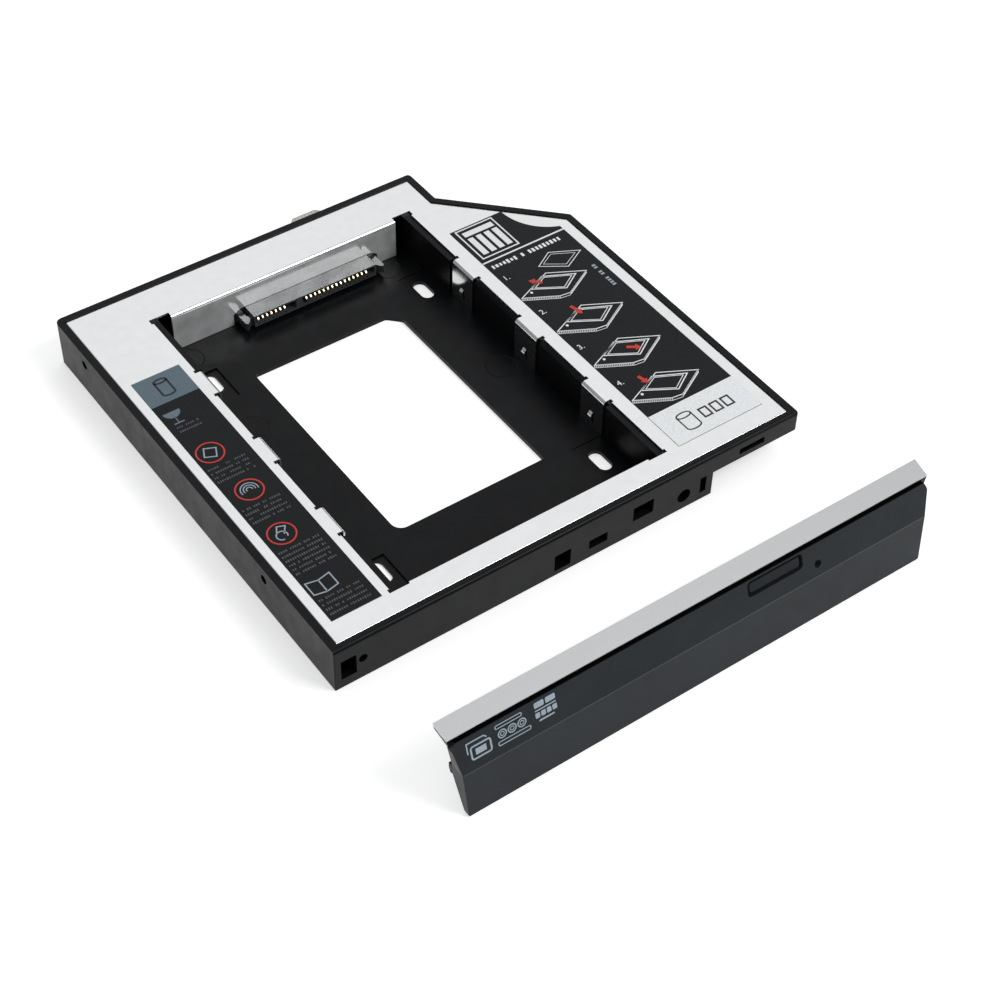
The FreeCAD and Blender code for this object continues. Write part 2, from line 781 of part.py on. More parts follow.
    # one spring tab: folded down beside the rail, with a bowed tongue that presses on the drive
    tabs = []
    for side in (-1, 1):
        word = "left" if side < 0 else "right"
        face_x = f"bay_centre + ({side}) * tab_face"
        back_x = f"bay_centre + ({side}) * (tab_face + plate_thickness)"
        root_x = f"bay_centre + ({side}) * (opening_half + tab_relief_depth)"
        for index in range(TABS):
            y = f"first_tab + {index} * tab_pitch"
            name = f"{word}_tab_{index}"
            blank = prism(name + "_blank", "y", [
                (face_x, "sheet_low"),
                (face_x, "plate_top"),
                (root_x, "plate_top"),
                (root_x, "plate_under"),
                (back_x, "plate_under"),
                (back_x, "sheet_low"),
            ], f"{y} - tab_length / 2", "tab_length")
            outer_x = size("bay_centre") + side * size("tab_face")
            inner_x = outer_x + side * size("plate_thickness")

            def fold_edge(x, z):
                def wanted(edge):
                    span = edge.BoundBox
                    level = near(span.ZMin, z) and near(span.ZMax, z)
                    return span.YLength > 1 and level and near(span.XMin, x) and near(span.XMax, x)
                return wanted

            folded = rounded(name + "_folded", blank,
                             (size("bend_outer"), fold_edge(outer_x, size("plate_top"))),
                             (size("bend_radius"), fold_edge(inner_x, size("plate_under"))))
            slit = box(name + "_slit", f"bay_centre + ({side}) * (tab_face + plate_thickness / 2) - 1",
                       f"{y} - tongue_width / 2 - tongue_slit", "tongue_middle - tongue_height / 2",
                       "2", "tongue_width + 2 * tongue_slit", "tongue_height")
            centre_x = f"bay_centre + ({side}) * (tab_face - tongue_bulge + tongue_radius)"
            outer = rod(name + "_bow_outer", centre_x, f"{y} - tongue_width / 2", "tongue_middle",
                        "tongue_radius", "tongue_width", "y")
            inner = rod(name + "_bow_inner", centre_x, f"{y} - tongue_width / 2 - 0.5", "tongue_middle",
                        "tongue_radius - plate_thickness", "tongue_width + 1", "y")
            strip_x = "tab_face - tongue_bulge" if side > 0 else "0 - tab_face - plate_thickness"
            strip = box(name + "_bow_strip", f"bay_centre + {strip_x}", f"{y} - tongue_width / 2",
                        "tongue_middle - tongue_height / 2 - plate_thickness / 2",
                        "tongue_bulge + plate_thickness", "tongue_width", "tongue_height + plate_thickness")
            bow = common(name + "_bow", cut(name + "_bow_ring", outer, inner), strip)
            tabs.append(fuse(name, cut(name + "_window", folded, slit), bow))
    return fuse("top_plate", flat, pierced, *tabs)


# Drive socket: glossy black moulding with two keyed mouths and a guide ear at each side
def build_socket():
    nose = box("nose", "socket_centre - nose_half", "nose_face", "nose_low",
               "nose_width", "nose_reach + plate_thickness + socket_gap + 0.1", "nose_height")
    back = box("socket_body", "socket_centre - ear_outer - socket_side", "socket_back",
               "sheet_low", "2 * (ear_outer + socket_side)", "socket_depth", "board_under - sheet_low")
    ears = []
    for index, side in enumerate((-1, 1)):
        inner = f"socket_centre + ({side}) * ear_inner"
        outer = f"socket_centre + ({side}) * ear_outer"
        ears.append(prism(f"ear_{index}", "z", [
            (inner, "flange_face - ear_reach + ear_bevel"),
            (f"{inner} + ({side}) * ear_bevel", "flange_face - ear_reach"),
            (f"{outer} - ({side}) * ear_bevel / 2", "flange_face - ear_reach"),
            (outer, "flange_face - ear_reach + ear_bevel / 2"),
            (outer, "socket_back + 0.1"),
            (inner, "socket_back + 0.1"),
        ], "nose_low", "ear_height"))
        web_x = "nose_half - 0.1" if side > 0 else "0 - ear_inner - 0.1"
        ears.append(box(f"ear_web_{index}", f"socket_centre + {web_x}",
                        "flange_face - ear_reach + ear_bevel + ear_web_set_back", "nose_low",
                        "ear_gap + 0.2", "ear_web", "ear_height"))
    solid = fuse("socket_solid", nose, back, *ears)
    mouths = []
    mouths.append(box("signal_mouth", "socket_centre - nose_half + mouth_side", "nose_face - 1", "mouth_z",
                      "key_left - socket_centre + nose_half - mouth_side", "mouth_depth + 1", "mouth_height"))
    mouths.append(box("power_mouth", "key_right", "nose_face - 1", "mouth_z",
                      "socket_centre + nose_half - mouth_side - key_right",
                      "mouth_depth + 1", "mouth_height"))
    mouths.append(box("signal_leg_cut", "key_left - signal_leg", "nose_face - 1", "mouth_z - leg_drop",
                      "signal_leg", "mouth_depth + 1", "leg_drop + 0.1"))
    mouths.append(box("power_leg_cut", "key_right", "nose_face - 1", "mouth_z - leg_drop",
                      "power_leg", "mouth_depth + 1", "leg_drop + 0.1"))
    for name, count, first in (("signal", SIGNAL_CONTACTS, "(0 - signal_first)"),
                               ("power", POWER_CONTACTS, "(0 - power_first)")):
        for index in range(count):
            x = f"socket_centre + {first} + {index} * contact_pitch - lip_notch_width / 2"
            mouths.append(box(f"{name}_lip_notch_{index}", x, "nose_face - 1",
                              "mouth_z - lip_notch_drop - lip_notch_height",
                              "lip_notch_width", "lip_notch_depth + 1", "lip_notch_height"))
    return cut("drive_socket", solid, *mouths)


# Contacts: gilded fingers from each mouth's end wall, along its ceiling, bent down at the front
def build_contacts(name, count, first):
    fingers = []
    for index in range(count):
        fingers.append(prism(f"{name}_{index}", "x", [
            ("contact_front", "contact_low"),
            ("contact_front + contact_thickness", "contact_low"),
            ("contact_front + contact_thickness + contact_hook", "contact_low + contact_hook"),
            ("contact_front + contact_thickness + contact_hook",
             "contact_top - contact_thickness - contact_hook"),
            ("contact_front + contact_thickness + 2 * contact_hook", "contact_top - contact_thickness"),
            ("mouth_end", "contact_top - contact_thickness"),
            ("mouth_end", "contact_top"),
            ("contact_front", "contact_top"),
        ], f"socket_centre + {first} + {index} * contact_pitch - contact_width / 2", "contact_width"))
    return group(name, fingers)


# Adapter board, its screws and its capacitors, behind the flange
def build_board():
    board = box("board_blank", "socket_centre - board_half", "board_front", "board_under",
                "2 * board_half", "board_length", "board_thickness")
    holes = []
    for index, side in enumerate("-+"):
        holes.append(rod(f"board_hole_{index}", f"socket_centre {side} boss_reach", "boss_y",
                         "board_under - 1", "screw_radius + 4 * screw_gap", "board_thickness + 2"))
    return cut("adapter_board", board, *holes)


def build_board_screws():
    screws = []
    for index, side in enumerate("-+"):
        x = f"socket_centre {side} boss_reach"
        head = rod(f"screw_head_{index}", x, "boss_y", "board_top",
                   "screw_head_radius", "screw_head_height")
        shank = rod(f"screw_shank_{index}", x, "boss_y", "board_under - screw_length + screw_tip_gap",
                    "screw_radius", "screw_length + board_thickness")
        slot = box(f"screw_slot_{index}", f"{x} - screw_slot_length / 2", "boss_y - screw_slot_width / 2",
                   "board_top + screw_head_height / 2",
                   "screw_slot_length", "screw_slot_width", "screw_head_height")
        cross = box(f"screw_cross_{index}", f"{x} - screw_slot_width / 2", "boss_y - screw_slot_length / 2",
                    "board_top + screw_head_height / 2",
                    "screw_slot_width", "screw_slot_length", "screw_head_height")
        screws.append(cut(f"board_screw_{index}", fuse(f"screw_solid_{index}", head, shank), slot, cross))
    return group("board_screws", screws)


def build_capacitors():
    blocks = []
    for index in range(CAPACITORS):
        x = f"socket_centre - board_half / 2 + {index} * capacitor_pitch"
        blocks.append(box(f"capacitor_{index}", x, "boss_y - capacitor_width / 2", "board_top",
                          "capacitor_length", "capacitor_width", "capacitor_height"))
    return group("board_capacitors", blocks)


# Rear plug: grey block on the board that stands out of the back wall, with blades along its top
def build_plug():
    block = prism("plug_block", "z", [
        ("plug_centre - plug_half", "tray_length - wall - plug_inside"),
        ("plug_centre + plug_half", "tray_length - wall - plug_inside"),
        ("plug_centre + plug_half", "tray_length + plug_shoulder"),
        ("plug_centre + plug_half - plug_bevel", "plug_tip"),
        ("plug_centre - plug_half + plug_bevel", "plug_tip"),
        ("plug_centre - plug_half", "tray_length + plug_shoulder"),
    ], "board_top", "plug_height")
    grooves = []
    for index in range(BLADES):
        grooves.append(box(f"blade_groove_{index}", blade_x(index), "tray_length + blade_end",
                           "plug_top - blade_depth", "blade_width", "plug_reach - 2 * blade_end", "1"))
    return cut("rear_plug", block, *grooves)


def blade_x(index):
    return f"plug_centre + ({index - (BLADES - 1) / 2}) * blade_pitch - blade_width / 2"


def build_blades():
    blades = []
    for index in range(BLADES):
        blades.append(box(f"blade_{index}", blade_x(index), "tray_length + blade_end",
                          "plug_top - blade_depth",
                          "blade_width", "plug_reach - 2 * blade_end", "blade_depth + blade_proud"))
    return group("rear_contacts", blades)


# Labels: thin printed film on the plate, the right one with a hollow curve at its back corner
def build_left_label():
    return box("left_label", "0 - half + plate_inset + label_edge", "left_label_front", "plate_top",
               "bay_from_left - opening_half - label_bay_edge - plate_inset - label_edge",
               "left_label_length", "label_thickness")


def build_right_label():
    left = "bay_centre + opening_half + right_label_bay_edge"
    film = box("right_film", left, "right_label_front", "plate_top",
               f"half - plate_inset - right_label_edge - ({left})",
               "corner_start + right_label_back - right_label_front", "label_thickness")
    curve = rod("label_curve", "half", "corner_start + label_curve_rise", "plate_top - 1",
                "label_curve_radius", "label_thickness + 2")
    return cut("right_label", film, curve)


# Faceplate: a thin shell that leans back above its crease, wider at the top, with a ledge for the trim
def face_outline(name, inset, low, high):
    """The front outline between the two ends, drawn through the whole depth."""
    levels = (
        ("face_half", low),
        ("crease_half", "lower_height"),
        ("brow_half", "brow_z"),
        ("top_half", high),
    )
    right = [(f"face_shift + {half} - {inset}", z) for half, z in levels]
    left = [(f"face_shift - {half} + {inset}", z) for half, z in reversed(levels)]
    return prism(name, "y", right + left, "face_y - 5", "30")


def runs_along_y(edge):
    span = edge.BoundBox
    return span.YLength > 1 and near(span.XLength, 0) and near(span.ZLength, 0)


def build_faceplate():
    side = prism("face_side", "x", [
        ("face_y", "0"),
        ("face_y + shell", "0"),
        ("end_y", "end_heel"),
        ("end_y", "ledge_z - ledge_wall"),
        ("ledge_back", "ledge_back_z - ledge_wall"),
        ("ledge_back", "ledge_back_z"),
        ("ledge_y", "ledge_z"),
        ("brow_y", "brow_z"),
        ("crease_y", "lower_height"),
    ], "face_shift - top_half - 1", "2 * top_half + 2")
    ends = (size("face_shift") - size("face_half"), size("face_shift") + size("face_half"))

    def bottom_corner(edge):
        span = edge.BoundBox
        at_end = any(near(span.XMin, end) and near(span.XMax, end) for end in ends)
        return span.YLength > 5 and near(span.ZMax, 0) and at_end

    front = rounded("face_front_soft", face_outline("face_front", "0", "0", "face_top"),
                    (size("face_corner_round"), bottom_corner))
    solid = common("face_solid", side, front)
    hollow_side = prism("hollow_side", "x", [
        ("face_y + shell", "-1"),
        ("face_y + shell", "0"),
        ("crease_y + shell", "lower_height"),
        ("cavity_top_y", "cavity_top"),
        ("ledge_back + 1", "cavity_top"),
        ("ledge_back + 1", "-1"),
    ], "face_shift - top_half - 1", "2 * top_half + 2")
    hollow = common("face_hollow", hollow_side, face_outline("hollow_front", "shell", "-1", "face_top"))

    # two barbed hooks, a peg and a flat tongue that enter the openings of the tray's front wall
    hooks = []
    root = "crease_y + hook_root"
    for name, hole in (("left_hook", "latch_left"), ("right_hook", "latch_right")):
        hooks.append(prism(name, "x", [
            (root, "hook_top - hook_wall"),
            ("hook_tip - barb_length", "hook_top - hook_wall"),
            ("hook_tip - barb_length", "hook_top - hook_wall - barb_drop"),
            ("hook_tip - barb_length * 0.5", "hook_top - hook_wall - barb_drop"),
            ("hook_tip", "hook_top - hook_wall"),
            ("hook_tip", "hook_top"),
            (root, "hook_top"),
        ], f"face_shift + {hole}_x - {hole}_width / 2 + hook_side + hook_shift",
            f"{hole}_width - 2 * hook_side"))
    hooks.append(box("locating_peg", "face_shift + peg_hole_x - peg_hole_width / 2 + peg_side", root,
                     "peg_height - peg_wall / 2", "peg_hole_width - 2 * peg_side",
                     f"hook_tip - barb_length - ({root})", "peg_wall"))
    hooks.append(box("wing_tongue", "face_shift + wing_slot_x - wing_slot_width / 2 + tongue_side", root,
                     "wing_slot_low + tongue_clear", "wing_slot_width - 2 * tongue_side",
                     f"hook_tip - barb_length - ({root})", "wing_slot_height - 2 * tongue_clear"))
    hole_block = box("hole_block", "button_x - button_hole_width / 2", "face_y - 1", "button_z",
                     "button_hole_width", "ledge_back - face_y - 0.5", "button_hole_height")
    button_hole = rounded("button_hole", hole_block,
                          (size("button_corner") + size("button_gap"), runs_along_y))
    pinhole = rod("pinhole", "face_shift + pinhole_offset", "face_y - 1", "lower_height + pinhole_height",
                  "pinhole_radius", "end_depth + 2", "y")

    # the round of each upper corner, in front of the ledge
    corners = []
    for index, side in enumerate((-1, 1)):
        corner_x = "brow_half - 2 * brow_cut" if side > 0 else "0 - brow_half - 1"
        corner = box(f"brow_corner_{index}", f"face_shift + {corner_x}", "face_y - 1", "brow_z - brow_drop",
                     "2 * brow_cut + 1", "ledge_y - face_y + 1", "brow_drop + groove_rise + 1")
        bow = rod(f"brow_bow_{index}", f"face_shift + ({side}) * brow_centre", "face_y - 2",
                  "brow_z - brow_drop", "brow_round", "ledge_y - face_y + 3", "y")
        corners.append(cut(f"brow_trim_{index}", corner, bow))
    shell = cut("face_shell", solid, hollow)
    return cut("faceplate", fuse("face_hooked", shell, *hooks), button_hole, pinhole, *corners)


# Trim: a silver strip that lies along the faceplate's ledge
def build_trim():
    strip = prism("trim_strip", "x", [
        ("ledge_y", "ledge_z"),
        ("ledge_back", "ledge_back_z"),
        ("ledge_back", "ledge_back_z + trim_thickness"),
        ("ledge_y", "ledge_z + trim_thickness"),
    ], "face_shift - top_half - 1", "2 * top_half + 2")
    return common("faceplate_trim", strip, face_outline("trim_front", "0", "0", "face_top"))


# Eject button: a cap in the faceplate's opening, kept from behind by its flange
def build_button():
    def face_at(z):
        return f"crease_y + lean * ({z} - lower_height)"

    cap_block = prism("button_cap_block", "x", [
        (face_at("cap_low") + " + button_sink", "cap_low"),
        (face_at("cap_high") + " + button_sink", "cap_high"),
        (face_at("cap_high") + " + flange_outer", "cap_high"),
        (face_at("cap_low") + " + flange_outer", "cap_low"),
    ], "button_x - button_hole_width / 2 + button_gap", "button_hole_width - 2 * button_gap")
    cap = rounded("button_cap", cap_block, (size("button_corner"), runs_along_y))
    flange = prism("button_flange_plate", "x", [
        (face_at("flange_low") + " + flange_inner", "flange_low"),
        (face_at("flange_high") + " + flange_inner", "flange_high"),
        (face_at("flange_high") + " + flange_outer", "flange_high"),
        (face_at("flange_low") + " + flange_outer", "flange_low"),
    ], "button_x - button_hole_width / 2 - button_flange", "button_hole_width + 2 * button_flange")
    return fuse("eject_button", cap, flange)


nodes = [
    build_tray(),
    build_plate(),
    build_socket(),
    build_contacts("signal_contacts", SIGNAL_CONTACTS, "(0 - signal_first)"),
    build_contacts("power_contacts", POWER_CONTACTS, "(0 - power_first)"),
    build_board(),
    build_board_screws(),
    build_capacitors(),
    build_plug(),
    build_blades(),
    build_left_label(),
    build_right_label(),
    build_faceplate(),
    build_trim(),
    build_button(),
]
doc.recompute()

# Nothing is written unless every object is sound
for item in doc.Objects:
    if "Invalid" in item.State or "Error" in item.State:
        raise RuntimeError(f"{item.Name} did not rebuild")
for node in nodes:
    node.Label = node.Name
    if node.Shape.isNull() or not node.Shape.isValid():
        raise RuntimeError(f"{node.Name} has no sound shape")

os.makedirs("parts", exist_ok=True)
for node in nodes:
    node.Shape.exportStep(f"parts/{node.Label}.step")
    print(node.Label, len(node.Shape.Solids), "solids", round(node.Shape.Volume, 2), "mm3")
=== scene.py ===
import bmesh
import bpy
from math import cos, pi, sin
from mathutils import Matrix, Vector


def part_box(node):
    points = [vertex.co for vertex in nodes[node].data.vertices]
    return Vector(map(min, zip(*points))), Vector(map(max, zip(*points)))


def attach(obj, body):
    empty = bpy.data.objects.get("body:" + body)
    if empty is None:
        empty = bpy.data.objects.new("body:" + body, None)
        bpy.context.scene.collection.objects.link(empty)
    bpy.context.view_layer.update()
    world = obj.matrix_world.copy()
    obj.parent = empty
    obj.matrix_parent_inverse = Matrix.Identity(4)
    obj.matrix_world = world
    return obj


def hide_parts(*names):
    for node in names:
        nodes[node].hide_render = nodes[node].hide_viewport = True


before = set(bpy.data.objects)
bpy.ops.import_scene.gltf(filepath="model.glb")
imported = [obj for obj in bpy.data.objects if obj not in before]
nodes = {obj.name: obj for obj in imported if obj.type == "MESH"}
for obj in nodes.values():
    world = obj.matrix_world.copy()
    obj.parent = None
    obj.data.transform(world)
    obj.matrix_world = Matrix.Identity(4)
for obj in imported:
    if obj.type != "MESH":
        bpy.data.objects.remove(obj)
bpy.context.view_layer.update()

MM = 0.001


# Camera: it stands where the photograph was taken from, in front and to the left, looking down.
# Its angles are in radians, its place in metres, its sensor and lens in millimetres.
CAMERA_TURN = -0.636858147
CAMERA_RISE = 0.808205712
CAMERA_ROLL = 0.0255545331
CAMERA_PLACE = Vector((-0.198316, -0.238461, 0.344404))
SENSOR = 36.0
LENS = 74.12
CLIP_START = 0.01


def new_object(name, data):
    """An object at the origin, linked to the scene."""
    made = bpy.data.objects.new(name, data)
    bpy.context.scene.collection.objects.link(made)
    return made


level_back = Vector((sin(CAMERA_TURN), -cos(CAMERA_TURN), 0))
view_back = level_back * cos(CAMERA_RISE) + Vector((0, 0, sin(CAMERA_RISE)))
view_right = (-view_back).cross(Vector((0, 0, 1))).normalized()
view_up = view_right.cross(-view_back)
camera_x = view_right * cos(CAMERA_ROLL) + view_up * sin(CAMERA_ROLL)
camera_y = view_up * cos(CAMERA_ROLL) - view_right * sin(CAMERA_ROLL)
camera = new_object("camera", bpy.data.cameras.new("camera"))
turned = Matrix((camera_x, camera_y, view_back)).transposed().to_4x4()
camera.matrix_world = Matrix.Translation(CAMERA_PLACE) @ turned
camera.data.sensor_width = SENSOR
camera.data.lens = LENS
camera.data.clip_start = CLIP_START
bpy.context.scene.camera = camera
bpy.context.scene.view_settings.view_transform = "Standard"


# Studio: a white tabletop, a pale room, a soft key lamp at the front right and three large panels.
# Lamps: place in metres, width and height in metres, power in watts.
TABLE_REACH = 3.0
TABLE_DROP = 0.00005
TABLE_COLOUR = (0.90, 0.90, 0.90, 1)
TABLE_LIFT = 0.50
ROOM_LIGHT = 0.30
ROOM_TINT = (0.96, 0.98, 1.0, 1)
ROOM_SEEN = (1, 1, 1, 1)
LAMP_AIM = Vector((0, 0.04, 0))
LAMPS = {
    "key": ((0.49, -0.63, 0.87), (0.5, 0.5), 5.5),
    "overhead": ((-0.15, 0.00, 1.30), (1.4, 1.4), 2.5),
    "back_panel": ((0.62, 0.88, 1.08), (1.5, 1.2), 4.0),
    "left_panel": ((-1.25, -0.35, 0.60), (1.0, 0.9), 1.0),
}


def tabletop_material():
    """Matt white, which the camera and every reflection see a little lifted."""
    material = bpy.data.materials.new("white_tabletop")
    material.use_nodes = True
    tree = material.node_tree
    tree.nodes.clear()
    diffuse = tree.nodes.new("ShaderNodeBsdfDiffuse")
    diffuse.inputs["Color"].default_value = TABLE_COLOUR
    glow = tree.nodes.new("ShaderNodeEmission")
    glow.inputs["Strength"].default_value = TABLE_LIFT
    lit = tree.nodes.new("ShaderNodeAddShader")
    path = tree.nodes.new("ShaderNodeLightPath")
    seen = tree.nodes.new("ShaderNodeMath")
    seen.operation = "MAXIMUM"
    either = tree.nodes.new("ShaderNodeMath")
    either.operation = "MAXIMUM"
    choice = tree.nodes.new("ShaderNodeMixShader")
    out = tree.nodes.new("ShaderNodeOutputMaterial")
    link = tree.links.new
    link(path.outputs["Is Camera Ray"], seen.inputs[0])
    link(path.outputs["Is Glossy Ray"], seen.inputs[1])
    link(seen.outputs[0], either.inputs[0])
    link(path.outputs["Is Transmission Ray"], either.inputs[1])
    link(diffuse.outputs[0], lit.inputs[0])
    link(glow.outputs[0], lit.inputs[1])
    link(either.outputs[0], choice.inputs["Fac"])
    link(diffuse.outputs[0], choice.inputs[1])
    link(lit.outputs[0], choice.inputs[2])
    link(choice.outputs[0], out.inputs["Surface"])
    return material


table_mesh = bpy.data.meshes.new("tabletop")
table_turns = ((-1, -1), (1, -1), (1, 1), (-1, 1))
table_corners = [(x * TABLE_REACH, y * TABLE_REACH, -TABLE_DROP) for x, y in table_turns]
table_mesh.from_pydata(table_corners, [], [(0, 1, 2, 3)])
table = new_object("tabletop", table_mesh)
table_mesh.materials.append(tabletop_material())

room = bpy.data.worlds.new("pale_room")
bpy.context.scene.world = room
room.use_nodes = True
room_nodes = room.node_tree.nodes
room_light = room_nodes["Background"]
room_light.inputs["Color"].default_value = ROOM_TINT
room_light.inputs["Strength"].default_value = ROOM_LIGHT
room_white = room_nodes.new("ShaderNodeBackground")
room_white.inputs["Color"].default_value = ROOM_SEEN
room_path = room_nodes.new("ShaderNodeLightPath")
room_choice = room_nodes.new("ShaderNodeMixShader")
room_link = room.node_tree.links.new
room_link(room_path.outputs["Is Camera Ray"], room_choice.inputs["Fac"])
room_link(room_light.outputs[0], room_choice.inputs[1])
room_link(room_white.outputs[0], room_choice.inputs[2])
room_link(room_choice.outputs[0], room_nodes["World Output"].inputs["Surface"])

for lamp_name, (lamp_place, (lamp_wide, lamp_high), lamp_power) in LAMPS.items():
    lamp = bpy.data.lights.new(lamp_name, "AREA")
    lamp.shape = "RECTANGLE"
    lamp.size = lamp_wide
    lamp.size_y = lamp_high
    lamp.energy = lamp_power
    lamp_object = new_object(lamp_name, lamp)
    lamp_object.location = lamp_place
    lamp_way = LAMP_AIM - Vector(lamp_place)
    lamp_object.rotation_euler = lamp_way.to_track_quat("-Z", "Y").to_euler()


# Tray: one black ABS moulding that carries everything else. Its faces have a fine spark-eroded grain,
# and faint rings on its floor show where the mould's ejector pins pushed it out.
TRAY_BLACK = (0.0040, 0.0045, 0.0052, 1)
TRAY_ROUGHNESS = 0.38
TRAY_SHINE = 0.14
EJECTOR_RADIUS = 4.0 * MM
EJECTOR_LINE = 0.35 * MM
EJECTOR_DEPTH = 0.06 * MM
EJECTOR_PLACES = [(-38.7, 107.3), (-38.0, 77.9), (-12.0, 20.0), (20.0, 109.0), (23.3, 62.0)]
NOISE_LOW = 0.3
NOISE_HIGH = 0.7
CLOUD_SCALE = 90.0
DRIFT_SCALE = 240.0
TONE_SPREAD = 0.18
GLOSS_SPREAD = 0.05


def new_surface(name, colour, roughness, metallic=0.0, specular=0.5):
    """A material with its shader, and the nodes that give every pattern its place on the object."""
    material = bpy.data.materials.new(name)
    material.use_nodes = True
    tree = material.node_tree
    shader = tree.nodes["Principled BSDF"]
    shader.inputs["Base Color"].default_value = colour
    shader.inputs["Roughness"].default_value = roughness
    shader.inputs["Metallic"].default_value = metallic
    shader.inputs["Specular IOR Level"].default_value = specular
    place = tree.nodes.new("ShaderNodeTexCoord")
    return material, tree, shader, place.outputs["Object"]


def noise_of(tree, place, scale, detail=3.0):
    """Noise on the object's own coordinates."""
    noise = tree.nodes.new("ShaderNodeTexNoise")
    noise.inputs["Scale"].default_value = scale
    noise.inputs["Detail"].default_value = detail
    tree.links.new(place, noise.inputs["Vector"])
    return noise.outputs["Fac"]


def ranged(tree, source, low, high):
    """Spread the middle part of a noise, where most of it lies, over a range."""
    spread = tree.nodes.new("ShaderNodeMapRange")
    spread.inputs["From Min"].default_value = NOISE_LOW
    spread.inputs["From Max"].default_value = NOISE_HIGH
    spread.inputs["To Min"].default_value = low
    spread.inputs["To Max"].default_value = high
    tree.links.new(source, spread.inputs["Value"])
    return spread.outputs["Result"]


def add_tint(tree, shader, source, first, second):
    """Let the colour drift between two tones."""
    mix = tree.nodes.new("ShaderNodeMix")
    mix.data_type = "RGBA"
    mix.inputs["A"].default_value = first
    mix.inputs["B"].default_value = second
    tree.links.new(ranged(tree, source, 0.0, 1.0), mix.inputs["Factor"])
    tree.links.new(mix.outputs["Result"], shader.inputs["Base Color"])


def add_bump(tree, shader, source, height):
    """Add relief of some height to what the surface already has."""
    bump = tree.nodes.new("ShaderNodeBump")
    bump.inputs["Distance"].default_value = height
    tree.links.new(source, bump.inputs["Height"])
    old = shader.inputs["Normal"].links
    if old:
        tree.links.new(old[0].from_socket, bump.inputs["Normal"])
    tree.links.new(bump.outputs[0], shader.inputs["Normal"])


def shaded(colour, share):
    """The same colour, darker or lighter."""
    return tuple(part * share for part in colour[:3]) + (1,)


def moulded_plastic(name, colour, roughness, grain=2600.0, depth=0.012 * MM, specular=0.5):
    """Plastic whose tone and gloss drift a little, with a fine moulded grain."""
    material, tree, shader, place = new_surface(name, colour, roughness, specular=specular)
    clouds = noise_of(tree, place, CLOUD_SCALE)
    add_tint(tree, shader, clouds, shaded(colour, 1 - TONE_SPREAD), shaded(colour, 1 + TONE_SPREAD))
    drift = noise_of(tree, place, DRIFT_SCALE)
    gloss = ranged(tree, drift, roughness - GLOSS_SPREAD, roughness + GLOSS_SPREAD)
    tree.links.new(gloss, shader.inputs["Roughness"])
    add_bump(tree, shader, noise_of(tree, place, grain, detail=2.0), depth)
    return material


def add_ejector_rings(material):
    """Shallow rings in the floor, by distance from each pin's middle."""
    tree = material.node_tree
    shader = tree.nodes["Principled BSDF"]
    place = tree.nodes.new("ShaderNodeTexCoord").outputs["Object"]
    for x, y in EJECTOR_PLACES:
        flat = tree.nodes.new("ShaderNodeVectorMath")
        flat.operation = "MULTIPLY"
        flat.inputs[1].default_value = (1, 1, 0)
        tree.links.new(place, flat.inputs[0])
        reach = tree.nodes.new("ShaderNodeVectorMath")
        reach.operation = "DISTANCE"
        reach.inputs[1].default_value = (x * MM, y * MM, 0)
        tree.links.new(flat.outputs[0], reach.inputs[0])
        step = tree.nodes.new("ShaderNodeMapRange")
        step.interpolation_type = "SMOOTHSTEP"
        step.inputs["From Min"].default_value = EJECTOR_RADIUS - EJECTOR_LINE
        step.inputs["From Max"].default_value = EJECTOR_RADIUS
        tree.links.new(reach.outputs["Value"], step.inputs["Value"])
        add_bump(tree, shader, step.outputs["Result"], EJECTOR_DEPTH)


def finish_node(name, material):
    """Give a CAD node its material in every slot that it has."""
    slots = nodes[name].data.materials
    if len(slots) == 0:
        slots.append(material)
    for index in range(len(slots)):
        slots[index] = material


tray_plastic = moulded_plastic("tray_black_plastic", TRAY_BLACK, TRAY_ROUGHNESS, specular=TRAY_SHINE)
add_ejector_rings(tray_plastic)
finish_node("tray_frame", tray_plastic)


# Plate: one folded sheet of zinc-coated steel, satin and faintly mottled. It rests inside the
# tray's rim, and its tabs, bent down beside the bay, hold the drive.
STEEL = (0.80, 0.81, 0.81, 1)
STEEL_ROUGHNESS = 0.24
STEEL_MOTTLE = 420.0
METAL_DARKEST = 0.975
METAL_LIGHTEST = 1.02
METAL_GLOSS_SPREAD = 0.02
FLANGE_METAL = 0.45
FLANGE_FRONT = 111.0 * MM
FLANGE_EASE = 0.5 * MM
BLOTCH_SCALE = 160.0
BLOTCH_SPREAD = 0.15
FOLDED_ROUGHNESS = 0.13
FOLD_DROP = 0.4 * MM
FOLD_EASE = 0.6 * MM


def rolled_steel(name, colour, roughness, mottle):
    """Sheet metal with a faint mottle in its tone and a finer one in its gloss."""
    material, tree, shader, place = new_surface(name, colour, roughness, metallic=1.0)
    clouds = noise_of(tree, place, mottle, detail=4.0)
    add_tint(tree, shader, clouds, shaded(colour, METAL_DARKEST), shaded(colour, METAL_LIGHTEST))
    spread = ranged(tree, noise_of(tree, place, mottle * 2),
                    roughness - METAL_GLOSS_SPREAD, roughness + METAL_GLOSS_SPREAD)
    tree.links.new(spread, shader.inputs["Roughness"])
    return material


def blended(tree, share, first, second):
    """Go from one value to another by a share. Each value is a number or another node's result."""
    mix = tree.nodes.new("ShaderNodeMix")
    tree.links.new(share, mix.inputs["Factor"])
    for end, value in (("A", first), ("B", second)):
        if isinstance(value, float):
            mix.inputs[end].default_value = value
        else:
            tree.links.new(value, mix.inputs[end])
    return mix.outputs["Result"]


